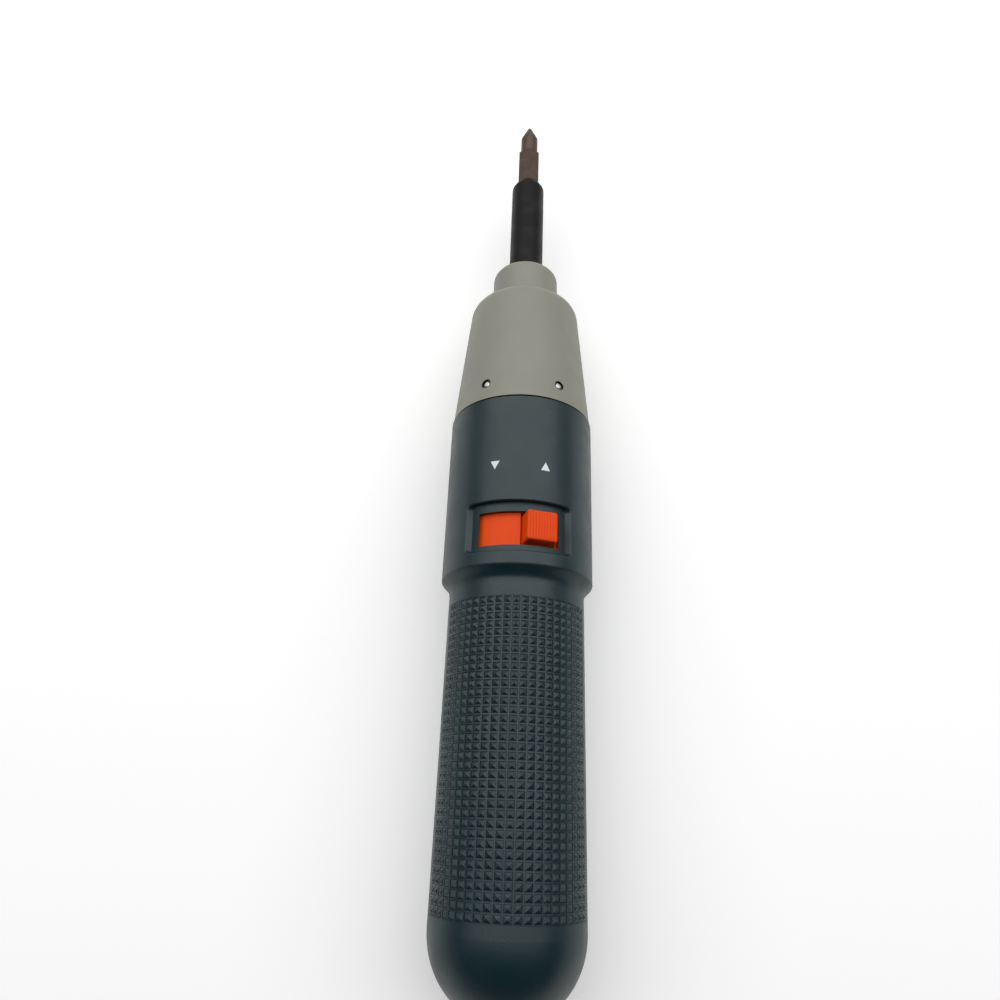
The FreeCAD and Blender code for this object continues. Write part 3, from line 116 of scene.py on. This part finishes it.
def mesh_piece(name, points, faces, material, body, crease=30.0):
    """Closed mesh in the tool's frame that rides on a body, smooth up to the crease angle."""
    mesh = bpy.data.meshes.new(name)
    mesh.from_pydata(points, [], faces)
    shape = bmesh.new()
    shape.from_mesh(mesh)
    bmesh.ops.recalc_face_normals(shape, faces=shape.faces)
    shape.to_mesh(mesh)
    shape.free()
    mesh.polygons.foreach_set("use_smooth", [True] * len(mesh.polygons))
    mesh.set_sharp_from_angle(angle=math.radians(crease))
    mesh.materials.append(material)
    piece = bpy.data.objects.new(name, mesh)
    bpy.context.scene.collection.objects.link(piece)
    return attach(piece, body)


def next_round(loop):
    """The same closed loop, started one point later."""
    return loop[1:] + loop[:1]


def band(first, second):
    """Four-sided faces between two closed loops of point numbers."""
    return list(zip(first, next_round(first), next_round(second), second))


# Shrunk PVC: smooth and glossy, faintly wavy where it pulled tight over the can.
shrunk_pvc = surface("shrunk_pvc_sleeve", "#2C5C36", "#36703F", patch=8.0, grain=2.5,
                     rough=(0.22, 0.34), height=0.03)
dress(shrunk_pvc, "front_cell", "rear_cell")

# Rolled nickel strip: bright, with fine rolling lines along its length.
nickel_strip = surface("rolled_nickel_strip", "#B4AFA6", "#CFCBC3", patch=5.0, grain=0.4,
                       rough=(0.22, 0.38), height=0.004, metallic=1.0, draw=(1, 20, 1))
dress(nickel_strip, "cell_link", "minus_strap")

# Open-cell polyether foam: dull black with pores of about half a millimetre.
foam = surface("open_cell_foam", "#1D1D1E", "#2B2B2D", patch=3.0, grain=0.5,
               rough=(0.9, 1.0), height=0.2)
pad_low, pad_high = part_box("battery_pad")
pad_centre = (pad_low + pad_high) / 2
pad_radius = (pad_high.x - pad_low.x) / 2
pad_half = (pad_high.y - pad_low.y) / 2
pad_spokes = 48
pad_squareness = 6
pad_shares = (0.25, 0.5, 0.75, 0.9, 0.97)
pad_profile = [(share, math.sqrt(1 - share ** pad_squareness)) for share in pad_shares]
pad_profile += [(1.0, 0.0)] + [(share, -lift) for share, lift in reversed(pad_profile)]
front_middle, rear_middle = 0, 1
points = [pad_centre + Vector((0, pad_half, 0)), pad_centre - Vector((0, pad_half, 0))]
rings = []
for share, lift in pad_profile:
    rings.append(list(range(len(points), len(points) + pad_spokes)))
    for spoke in range(pad_spokes):
        turn = math.tau * spoke / pad_spokes
        across = Vector((math.sin(turn), 0, math.cos(turn))) * pad_radius * share
        points.append(pad_centre + across + Vector((0, pad_half * lift, 0)))
faces = [(front_middle, *edge) for edge in zip(next_round(rings[0]), rings[0])]
for near, far in zip(rings, rings[1:]):
    faces += band(near, far)
faces += [(rear_middle, *edge) for edge in zip(rings[-1], next_round(rings[-1]))]
foam_disc = mesh_piece("battery_foam_disc", points, faces, foam, "housing")
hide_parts("battery_pad")

# Motor. A small permanent-magnet motor in a drawn, plated can: ferrite arcs, a three-slot
# laminated core wound with enamelled copper, a copper commutator, carbon brushes in a nylon end
# cap, and bronze bushes for the shaft.

# Drawn and nickel-plated steel: bright and even, with soft drawing lines along the can.
plated_can = surface("plated_drawn_steel", "#A9A59C", "#C6C2BA", patch=12.0, grain=0.6,
                     rough=(0.2, 0.34), height=0.006, metallic=1.0, draw=(1, 15, 1))
dress(plated_can, "motor_can")

# Pressed ferrite: matte charcoal with a powdery grain.
ferrite = surface("pressed_ferrite", "#3A3A3C", "#48484A", patch=4.0, grain=0.3,
                  rough=(0.65, 0.85), height=0.02)
dress(ferrite, "motor_magnets")

# Glass-filled black nylon: matte, with short fibres just showing as a fine streak.
black_nylon = surface("moulded_black_nylon", "#222223", "#2C2C2D", patch=6.0, grain=0.4,
                      rough=(0.45, 0.65), height=0.015, draw=(1, 4, 1))
dress(black_nylon, "motor_end_cap", "switch_base")

# Sintered bronze: dull gold-brown, pitted by its oil pores.
sintered_bronze = surface("sintered_bronze", "#9C7443", "#B58A54", patch=2.0, grain=0.25,
                          rough=(0.4, 0.6), height=0.02, metallic=1.0)
dress(sintered_bronze, "motor_bushes", "front_bush")

# Pressed carbon: matte black that smears to a slight shine.
pressed_carbon = surface("pressed_carbon", "#242425", "#323233", patch=1.5, grain=0.2,
                         rough=(0.45, 0.75), height=0.02)
dress(pressed_carbon, "motor_brushes")

# Stamped brass strip: yellow and satin, rolled along the strip.
brass_strip = surface("stamped_brass_strip", "#B88F45", "#D0A658", patch=4.0, grain=0.3,
                      rough=(0.25, 0.42), height=0.005, metallic=1.0, draw=(1, 15, 1))
dress(brass_strip, "motor_terminals", "leaf_contacts", "run_bar", "brake_bar")

# Enamelled copper wire: laid turns of 0.35 mm wire, glossy under their varnish. The tone
# follows the turns, darker in the grooves between them and lighter on their crowns: painted
# shade and painted highlight.
copper_wire, tree = new_tree("enamelled_copper_wire")
wire_pitch = 0.35
# the wave texture draws about this many bands to one unit of its scale
bands_per_unit = 3.14
place = add(tree, "ShaderNodeTexCoord").outputs["Object"]
turns = add(tree, "ShaderNodeTexWave",
            {"Vector": place, "Scale": 1 / (wire_pitch * mm * bands_per_unit), "Distortion": 1.5,
             "Detail": 1.0},
            bands_direction="DIAGONAL")
# painted shade in the grooves between turns and painted highlight on their crowns
tone = add(tree, "ShaderNodeMixRGB",
           {"Fac": turns.outputs["Fac"], "Color1": linear("#7E3F1E"), "Color2": linear("#C27443")})
bump = add(tree, "ShaderNodeBump",
           {"Height": turns.outputs["Fac"], "Distance": wire_pitch * mm / 2})
shader = add(tree, "ShaderNodeBsdfPrincipled",
             {"Base Color": tone.outputs["Color"], "Normal": bump.outputs["Normal"],
              "Metallic": 1.0, "Roughness": 0.28})
add(tree, "ShaderNodeOutputMaterial", {"Surface": shader.outputs["BSDF"]})
dress(copper_wire, "armature_winding")

# Turned hard copper: brushed round by the brushes.
turned_copper = surface("turned_copper", "#A45F35", "#BD7545", patch=1.5, grain=0.15,
                        rough=(0.25, 0.45), height=0.008, metallic=1.0, draw=(6, 1, 6))
dress(turned_copper, "commutator")

# Bare machined steel: grey and satin, with fine tool lines round the axis and a film of oil.
machined_steel = surface("machined_steel", "#8E8E8C", "#A9A9A8", patch=6.0, grain=0.25,
                         rough=(0.25, 0.42), height=0.006, metallic=1.0, draw=(5, 1, 5))
dress(machined_steel, "motor_shaft", "motor_pinion", "armature_core", "motor_plate",
      "motor_screws")

# Gearing and spindle lock. Two planetary stages share one moulded case: nylon wheels run fast
# behind, steel ones in front. The steel ring and rollers of the automatic lock sit before them,
# under a thrust washer.

dress(machined_steel, "output_carrier", "output_planet_pins", "first_carrier",
      "first_planet_pins", "lock_ring", "lock_rollers", "thrust_washer")

# Sintered gear steel: darker grey, faintly porous.
sintered_steel = surface("sintered_gear_steel", "#777674", "#8D8C8A", patch=3.0, grain=0.2,
                         rough=(0.35, 0.5), height=0.01, metallic=1.0)
dress(sintered_steel, "output_planet_a", "output_planet_b", "output_planet_c")

# Natural nylon: milky, satin and slightly waxy.
natural_nylon = surface("moulded_natural_nylon", "#C4BFAE", "#D3CEBF", patch=8.0, grain=0.5,
                        rough=(0.35, 0.5), height=0.01)
dress(natural_nylon, "first_planet_a", "first_planet_b", "first_planet_c", "gear_case")

# Leads. Short stranded wires in red insulation join the contacts, the switch and the motor
# inside the housing.

# Extruded PVC insulation: smooth, with a faint waviness.
red_pvc = surface("extruded_red_pvc", "#8E1F1A", "#A82A22", patch=5.0, grain=0.6,
                  rough=(0.35, 0.5), height=0.01)
dress(red_pvc, "motor_leads", "charge_leads")

# Handle. Two moulded half shells in dark green ABS, joined at the sides, with a wider collar
# round the motor, a recess for the switch and a round butt.


def moulded_abs(name, dark, light, satin, rubbed, dust, shine):
    """Injection-moulded ABS: faint flow tones, a satin spark-eroded grain, rubs and dust.

    satin and rubbed are the roughness of the grain and of its rubbed patches, and dust is how
    far the specks cover the colour.
    """
    # the mould's real grain is about 0.06 mm, too fine to show, so it is drawn at 0.3 mm
    grain_size = 0.3
    grain_height = 0.02
    flow_size = 14.0
    rub_size = 7.0
    speck_spacing = 5.0
    dust_tone = "#B9BAB4"
    material, tree = new_tree(name)
    place = add(tree, "ShaderNodeTexCoord").outputs["Object"]
    flow = add(tree, "ShaderNodeTexNoise",
               {"Vector": place, "Scale": 1 / (flow_size * mm), "Detail": 4.0})
    tone = add(tree, "ShaderNodeMixRGB",
               {"Fac": flow.outputs["Fac"], "Color1": linear(dark), "Color2": linear(light)})
    specks = add(tree, "ShaderNodeTexVoronoi",
                 {"Vector": place, "Scale": 1 / (speck_spacing * mm)})
    speck_mask = add(tree, "ShaderNodeMapRange",
                     {"Value": specks.outputs["Distance"], "From Min": 0.015, "From Max": 0.03,
                      "To Min": dust, "To Max": 0.0})
    dusty = add(tree, "ShaderNodeMixRGB",
                {"Fac": speck_mask.outputs["Result"], "Color1": tone.outputs["Color"],
                 "Color2": linear(dust_tone)})
    grain = add(tree, "ShaderNodeTexNoise",
                {"Vector": place, "Scale": 1 / (grain_size * mm), "Detail": 2.0})
    rubs = add(tree, "ShaderNodeTexNoise",
               {"Vector": place, "Scale": 1 / (rub_size * mm), "Detail": 5.0, "Roughness": 0.6})
    gloss = add(tree, "ShaderNodeMapRange",
                {"Value": rubs.outputs["Fac"], "From Min": 0.4, "From Max": 0.62,
                 "To Min": satin, "To Max": rubbed})
    bump = add(tree, "ShaderNodeBump",
               {"Height": grain.outputs["Fac"], "Distance": grain_height * mm})
    shader = add(tree, "ShaderNodeBsdfPrincipled",
                 {"Base Color": dusty.outputs["Color"], "Roughness": gloss.outputs["Result"],
                  "Normal": bump.outputs["Normal"], "IOR": 1.53, "Specular IOR Level": shine})
    add(tree, "ShaderNodeOutputMaterial", {"Surface": shader.outputs["BSDF"]})
    return material


# Dark green ABS: satin, almost black in shade, slightly shinier where use has rubbed it.
green_abs = moulded_abs("moulded_green_abs", "#10292E", "#162F34", satin=0.42, rubbed=0.33,
                        dust=0.2, shine=0.48)
dress(green_abs, "switch_side_shell", "back_shell")

# Grip pattern. The shells are moulded with a field of small pyramids, each in its own shallow
# square pocket, with flat lands between them level with the smooth bands. The field stops short
# of the joint at each side.

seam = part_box("back_shell")[1].y / mm
axis_height = (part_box("nose_cone")[0].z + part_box("nose_cone")[1].z) / 2 / mm


def around(angle, out, along):
    """Point at an angle in degrees from the top of the tool, out from its axis and along it.

    along counts from the joint of nose and shells, and out and along are in millimetres.
    """
    turn = math.radians(angle)
    return Vector((out * math.sin(turn), seam + along, axis_height + out * math.cos(turn))) * mm


grip_front = -46.9
grip_front_radius = 16.8
grip_rear = -120.51
grip_rear_radius = 17.1
field_front = -51.55
field_rear = -117.76
field_rows = 35
field_columns = 21
row_pitch = (field_front - field_rear) / field_rows
column_angle = 6.85
strip_steps = 6
half_angle = 89.85
land_width = 0.32
pocket_wall = 0.04
pocket_depth = 0.14
pyramid_rise = 0.2
pyramid_top = 0.12
skin_depth = 0.35
grip_crease = 20.0


def land_radius(along):
    """Radius of the slightly flared grip."""
    share = (grip_front - along) / (grip_front - grip_rear)
    return grip_front_radius + (grip_rear_radius - grip_front_radius) * share


def field_angles():
    """Edges of the columns, with a plain strip at each side."""
    edge = column_angle * field_columns / 2
    strip = (half_angle - edge) / strip_steps
    angles = [-half_angle + strip * step for step in range(strip_steps)]
    angles += [-edge + column_angle * column for column in range(field_columns)]
    return angles + [edge + strip * step for step in range(strip_steps + 1)]


def cell_squares(cell_width):
    """Width, length and lift of the squares in a cell: land, floor of the pocket, and tip."""
    floor_inset = land_width + pocket_wall * 2
    return (
        (cell_width - land_width, row_pitch - land_width, 0.0),
        (cell_width - floor_inset, row_pitch - floor_inset, -pocket_depth),
        (pyramid_top, pyramid_top, pyramid_rise),
    )


def grip_field(name, turn):
    """Skin with a grid of pyramids, centred on an angle from the top of the tool."""
    points = []
    faces = []

    def put(angle, along, lift):
        points.append(around(turn + angle, land_radius(along) + lift, along))
        return len(points) - 1

    def pyramid(outer, angle, along):
        cell_width = math.radians(column_angle) * land_radius(along)
        for wide, deep, lift in cell_squares(cell_width):
            half_turn = wide / cell_width * column_angle / 2
            inner = [put(angle + half_turn * aside, along + deep / 2 * ahead, lift)
                     for aside, ahead in ((-1, 1), (1, 1), (1, -1), (-1, -1))]
            faces.extend(band(outer, inner))
            outer = inner
        faces.append(outer)

    angles = field_angles()
    alongs = [field_front - row_pitch * row for row in range(field_rows + 1)]
    tops = [[put(angle, along, 0.0) for angle in angles] for along in alongs]
    lows = [[put(angle, along, -skin_depth) for angle in angles] for along in alongs]
    last = len(angles) - 1
    for row in range(field_rows):
        for column in range(last):
            corners = ((row, column), (row, column + 1), (row + 1, column + 1), (row + 1, column))
            faces.append([lows[r][c] for r, c in corners])
            outer = [tops[r][c] for r, c in corners]
            if strip_steps <= column < strip_steps + field_columns:
                middle_angle = (angles[column] + angles[column + 1]) / 2
                pyramid(outer, middle_angle, alongs[row] - row_pitch / 2)
            else:
                faces.append(outer)
    for row in (0, field_rows):
        for column in range(last):
            faces.append((tops[row][column], tops[row][column + 1],
                          lows[row][column + 1], lows[row][column]))
    for column in (0, last):
        for row in range(field_rows):
            faces.append((tops[row][column], tops[row + 1][column],
                          lows[row + 1][column], lows[row][column]))
    field = mesh_piece(name, points, faces, green_abs, "housing", grip_crease)
    return field


grip_field("grip_pattern_switch_side", 0.0)
grip_field("grip_pattern_back", 180.0)

# Direction marks. Two small triangles are pad-printed in white on the collar, one over each end
# of the switch: the left one points back and the right one forward.

# Pad-printing ink: opaque white, matte, very thin.
white_ink = surface("pad_printed_white_ink", "#DDE6E6", "#EDF4F4", patch=1.2, grain=0.15,
                    rough=(0.5, 0.65), height=0.004)
mark_angle = 19.0
mark_along = -19.35
mark_width = 2.3
mark_length = 2.2
mark_point = 0.02
mark_steps = 8
ink_height = 0.02
ink_sink = 0.08
collar_radius = 19.0


def direction_mark(name, angle, forward):
    """Curved triangle that points along the tool; forward is 1 or -1."""
    points = []
    for lift in (ink_height, -ink_sink):
        for row in range(mark_steps + 1):
            share = row / mark_steps
            along = mark_along + forward * mark_length * (share - 0.5)
            half = math.degrees(mark_width / 2 / collar_radius) * max(1 - share, mark_point)
            for column in range(mark_steps + 1):
                turn = angle + half * (2 * column / mark_steps - 1)
                points.append(around(turn, collar_radius + lift, along))
    width = mark_steps + 1
    low = width * width
    faces = []
    for row in range(mark_steps):
        for column in range(mark_steps):
            first = row * width + column
            quad = (first, first + 1, first + 1 + width, first + width)
            faces.append(quad)
            faces.append([corner + low for corner in quad])
    rim = list(range(width))
    rim += [row * width + mark_steps for row in range(1, width)]
    rim += [mark_steps * width + column for column in range(mark_steps - 1, -1, -1)]
    rim += [row * width for row in range(mark_steps - 1, 0, -1)]
    faces += band(rim, [corner + low for corner in rim])
    return mesh_piece(name, points, faces, white_ink, "housing")


direction_mark("reverse_mark", -mark_angle, -1)
direction_mark("forward_mark", mark_angle, 1)

# Housing screws. Three thread-forming screws with cross recesses go in from the back and close
# the shells.

# Zinc-plated steel: pale and bluish, with a soft shine.
zinc_plate = surface("zinc_plated_steel", "#9FA3A8", "#BCC0C4", patch=3.0, grain=0.2,
                     rough=(0.25, 0.4), height=0.006, metallic=1.0)
dress(zinc_plate, "housing_screws")

# Nose. One light grey ABS moulding, a tapered cone with a round shoulder and a short collar for
# the bearing. It is held in the front of the shells and carries the charging contacts.

# Grey ABS: warm stone grey, satin, a little dusty.
grey_abs = moulded_abs("moulded_grey_abs", "#8A8A7E", "#939387", satin=0.52, rubbed=0.44,
                       dust=0.2, shine=0.42)
dress(grey_abs, "nose_cone")

# Charging contacts. Two pins, turned from brass and nickel plated, stand in small round recesses
# in the nose. A lead joins the inner end of each.

# Bright nickel plate over turned brass: a clear, slightly warm shine, softened by wear.
bright_nickel = surface("bright_nickel_plate", "#E6E3DB", "#F4F2EC", patch=1.0, grain=0.1,
                        rough=(0.4, 0.5), height=0.002, metallic=1.0)
dress(bright_nickel, "charge_contacts")

# Painted shade at the joint and the contacts. A thin ring of dull black lies in the groove between
# nose and shells and paints the shade of that gap as a dark line. Two short sleeves of the same
# black line the recesses round the contacts and paint the shade in them.

# Painted shade: a dull, deep black with next to no shine, for the shade in the gaps.
painted_shade_black = surface("painted_gap_shade", "#0B0B0C", "#131314", patch=3.0, grain=0.3,
                       rough=(0.7, 0.9), height=0.01, shine=0.08)
shade_ring_rear = 0.02
shade_ring_front = 0.48
shade_ring_inner = 18.2
shade_ring_outer = 18.62
shade_ring_spokes = 160
contact_angle = 31.5
contact_along = 5.3
nose_radius = 18.264
nose_taper = 0.0917
sleeve_outer = 1.34
sleeve_inner = 1.22
sleeve_floor = 17.47
sleeve_below = 0.06
sleeve_spokes = 40


def shade_band(name, loops):
    """Closed ring through loops of points, each joined to the next and the last to the first."""
    count = len(loops[0])
    numbers = [list(range(count * place, count * (place + 1))) for place in range(len(loops))]
    faces = []
    for near, far in zip(numbers, next_round(numbers)):
        faces += band(near, far)
    points = [point for loop in loops for point in loop]
    return mesh_piece(name, points, faces, painted_shade_black, "housing")


def shade_ring_loop(out, along):
    """Circle round the tool's axis."""
    return [around(360 * spoke / shade_ring_spokes, out, along) for spoke in range(shade_ring_spokes)]


def sleeve_loop(angle, radius, at_top):
    """Circle round a contact, on the floor of its recess or just below the skin of the nose."""
    outward = around(angle, 1.0, 0.0) - around(angle, 0.0, 0.0)
    sideways = around(angle + 90.0, 1.0, 0.0) - around(angle + 90.0, 0.0, 0.0)
    loop = []
    for spoke in range(sleeve_spokes):
        turn = math.tau * spoke / sleeve_spokes
        ahead = radius * math.cos(turn)
        aside = radius * math.sin(turn)
        skin = math.sqrt((nose_radius - nose_taper * ahead) ** 2 - aside ** 2)
        out = skin - sleeve_below if at_top else sleeve_floor
        middle = around(angle, 0.0, contact_along + ahead)
        loop.append(middle + outward * out + sideways * aside)
    return loop


def contact_shade_sleeve(name, angle):
    """Short tube of dull black that lines the recess of one contact: painted shade in the recess."""
    corners = ((sleeve_outer, False), (sleeve_outer, True), (sleeve_inner, True),
               (sleeve_inner, False))
    return shade_band(name, [sleeve_loop(angle, radius, at_top) for radius, at_top in corners])


shade_ring_corners = ((shade_ring_inner, shade_ring_rear), (shade_ring_outer, shade_ring_rear), (shade_ring_outer, shade_ring_front),
                (shade_ring_inner, shade_ring_front))
# dull black ring in the joint groove: painted shade of the gap
shade_band("nose_joint_gap_shade", [shade_ring_loop(out, along) for out, along in shade_ring_corners])
# dull black linings in the contact recesses: painted shade
contact_shade_sleeve("contact_shade_left", -contact_angle)
contact_shade_sleeve("contact_shade_right", contact_angle)

# Spindle and clip. The spindle is turned steel with a hexagon broached in its mouth, blackened
# in a hot oxide bath. A spring ring inside holds the bit.

# Black oxide: deep black, satin, with faint lathe lines round it and paler rubbed spots.
black_oxide, tree = new_tree("black_oxide_steel")
# the real feed lines are about 0.1 mm apart and are drawn at 0.5 mm so that they show
lathe_pitch = 0.5
line_height = 0.004
spot_size = 4.0
place = add(tree, "ShaderNodeTexCoord").outputs["Object"]
lines = add(tree, "ShaderNodeTexWave",
            {"Vector": place, "Scale": 1 / (lathe_pitch * mm * bands_per_unit), "Distortion": 0.6,
             "Detail": 2.0},
            bands_direction="Y")
rubs = add(tree, "ShaderNodeTexNoise",
           {"Vector": place, "Scale": 1 / (spot_size * mm), "Detail": 5.0})
rub_mask = add(tree, "ShaderNodeMapRange",
               {"Value": rubs.outputs["Fac"], "From Min": 0.52, "From Max": 0.75, "To Min": 0.0,
                "To Max": 0.5})
tone = add(tree, "ShaderNodeMixRGB",
           {"Fac": rub_mask.outputs["Result"], "Color1": linear("#151214"),
            "Color2": linear("#2A2526")})
gloss = add(tree, "ShaderNodeMapRange",
            {"Value": rubs.outputs["Fac"], "From Min": 0.3, "From Max": 0.7, "To Min": 0.5,
             "To Max": 0.4})
bump = add(tree, "ShaderNodeBump",
           {"Height": lines.outputs["Fac"], "Distance": line_height * mm})
shader = add(tree, "ShaderNodeBsdfPrincipled",
             {"Base Color": tone.outputs["Color"], "Roughness": gloss.outputs["Result"],
              "Normal": bump.outputs["Normal"], "Specular IOR Level": 0.18})
add(tree, "ShaderNodeOutputMaterial", {"Surface": shader.outputs["BSDF"]})
dress(black_oxide, "output_spindle")

# Spring wire: hard-drawn steel, brown-grey from tempering.
spring_wire = surface("tempered_spring_wire", "#6E6964", "#85807A", patch=2.0, grain=0.15,
                      rough=(0.25, 0.4), height=0.004, metallic=1.0, draw=(6, 1, 6))
dress(spring_wire, "bit_clip")

# Bit. A double-ended hexagonal bit, cold formed and hardened: cross point in front, flat blade
# in the socket.

# Hardened tool steel: brown-grey from its heat treatment, with ground lines along it.
bit_steel = surface("hardened_bit_steel", "#584B43", "#74655B", patch=2.5, grain=0.3,
                    rough=(0.42, 0.58), height=0.01, metallic=1.0, draw=(1, 8, 1))
dress(bit_steel, "driver_bit")

# Switch. A curved orange shutter slides sideways under the window and carries a ribbed block,
# which is pressed to run the motor. Both are moulded in ABS.

# Orange ABS: strong red-orange, satin.
orange_abs = moulded_abs("moulded_orange_abs", "#EA4A03", "#F25107", satin=0.5, rubbed=0.42,
                         dust=0.1, shine=0.18)
dress(orange_abs, "slide_shutter", "press_button")

# Set. The tool lies on a sheet of white board. To the eye the board shows as in a bright
# exposure, nearly white, and the shadow on it stays. Away from the tool it goes all the way to
# white, as a backdrop swept up behind it would, and the tool mirrors a share of that.

# Coated white board: matte, with a barely visible fibre grain.
white_board = surface("coated_white_board", "#F1F2F0", "#F6F6F3", patch=60.0, grain=0.8,
                      rough=(0.7, 0.9), height=0.01)
board_exposure = 1.24
board_lift = 0.2
shadow_reach = 0.13
white_from = 0.45
mirror_share = 0.35
tree = white_board.node_tree
ray = add(tree, "ShaderNodeLightPath")
mirrored = add(tree, "ShaderNodeMath",
               {0: ray.outputs["Is Glossy Ray"], 1: ray.outputs["Is Transmission Ray"]},
               operation="MAXIMUM")
dimmed = add(tree, "ShaderNodeMath", {0: mirrored.outputs["Value"], 1: mirror_share},
             operation="MULTIPLY")
in_view = add(tree, "ShaderNodeMath",
              {0: ray.outputs["Is Camera Ray"], 1: dimmed.outputs["Value"]},
              operation="MAXIMUM")
place = add(tree, "ShaderNodeTexCoord").outputs["Object"]
distance = add(tree, "ShaderNodeVectorMath", {0: place}, operation="LENGTH")
fade = add(tree, "ShaderNodeMapRange",
           {"Value": distance.outputs["Value"], "From Min": shadow_reach, "From Max": white_from,
            "To Min": board_lift, "To Max": 1.0},
           interpolation_type="SMOOTHSTEP")
exposed = add(tree, "ShaderNodeBsdfDiffuse", {"Color": [board_exposure] * 3 + [1.0]})
glow = add(tree, "ShaderNodeEmission", {"Color": linear("#FFFFFF"), "Strength": 1.0})
lifted = add(tree, "ShaderNodeMixShader",
             {0: fade.outputs["Result"], 1: exposed.outputs["BSDF"], 2: glow.outputs["Emission"]})
board = tree.nodes["Principled BSDF"]
seen = add(tree, "ShaderNodeMixShader",
           {0: in_view.outputs["Value"], 1: board.outputs["BSDF"], 2: lifted.outputs["Shader"]})
tree.links.new(seen.outputs["Shader"], tree.nodes["Material Output"].inputs["Surface"])
floor_half = 3.0
floor_corners = [(floor_half * aside, floor_half * ahead, 0)
                 for aside, ahead in ((-1, -1), (1, -1), (1, 1), (-1, 1))]
floor_mesh = bpy.data.meshes.new("floor")
floor_mesh.from_pydata(floor_corners, [], [(0, 1, 2, 3)])
floor_mesh.materials.append(white_board)
floor = bpy.data.objects.new("floor", floor_mesh)
bpy.context.scene.collection.objects.link(floor)

# Light. One broad softbox hangs low over the tool and reaches forward past its tip. The room
# beyond is dim, and the side behind the camera is dark, so faces turned to it go nearly black.
softbox_data = bpy.data.lights.new("softbox", "AREA")
softbox_data.shape = "RECTANGLE"
softbox_data.size = 2.0
softbox_data.size_y = 1.2
softbox_data.energy = 11.2
softbox = bpy.data.objects.new("softbox", softbox_data)
softbox.location = (0.0, 0.4, 0.62)
softbox.visible_camera = False
bpy.context.scene.collection.objects.link(softbox)

fill_behind = 0.01
fill_ahead = 0.15
room = bpy.data.worlds.new("pale_room")
room.use_nodes = True
tree = room.node_tree
tree.nodes.clear()
ray = add(tree, "ShaderNodeLightPath")
place = add(tree, "ShaderNodeTexCoord").outputs["Generated"]
towards = add(tree, "ShaderNodeSeparateXYZ", {"Vector": place})
ahead = add(tree, "ShaderNodeMapRange",
            {"Value": towards.outputs["Y"], "From Min": -0.4, "From Max": 0.4,
             "To Min": fill_behind, "To Max": fill_ahead},
            interpolation_type="SMOOTHSTEP")
fill = add(tree, "ShaderNodeBackground",
           {"Color": linear("#FFFFFF"), "Strength": ahead.outputs["Result"]})
white = add(tree, "ShaderNodeBackground", {"Color": linear("#FFFFFF"), "Strength": 1.0})
seen = add(tree, "ShaderNodeMixShader",
           {0: ray.outputs["Is Camera Ray"], 1: fill.outputs["Background"],
            2: white.outputs["Background"]})
add(tree, "ShaderNodeOutputWorld", {"Surface": seen.outputs["Shader"]})
bpy.context.scene.world = room

# Camera. It looks down along the handle from above its rear, in a close and steep view. Its right
# and up directions fix its turn.
camera_behind_seam = 99.5056
camera_height = 201.8
camera_right = Vector((0.999265, 0.036265, -0.012417))
camera_up = Vector((-0.028394, 0.917908, 0.395776))
camera_data = bpy.data.cameras.new("camera")
camera_data.sensor_width = 36.0
camera_data.lens = 26.98
camera_data.clip_start = 0.01
camera = bpy.data.objects.new("camera", camera_data)
camera_axes = (camera_right, camera_up, camera_right.cross(camera_up))
camera_place = Vector((0.0, seam - camera_behind_seam, camera_height)) * mm
camera.matrix_world = Matrix.Translation(camera_place) @ Matrix(camera_axes).transposed().to_4x4()
bpy.context.scene.collection.objects.link(camera)
bpy.context.scene.camera = camera
bpy.context.scene.view_settings.view_transform = "Standard"
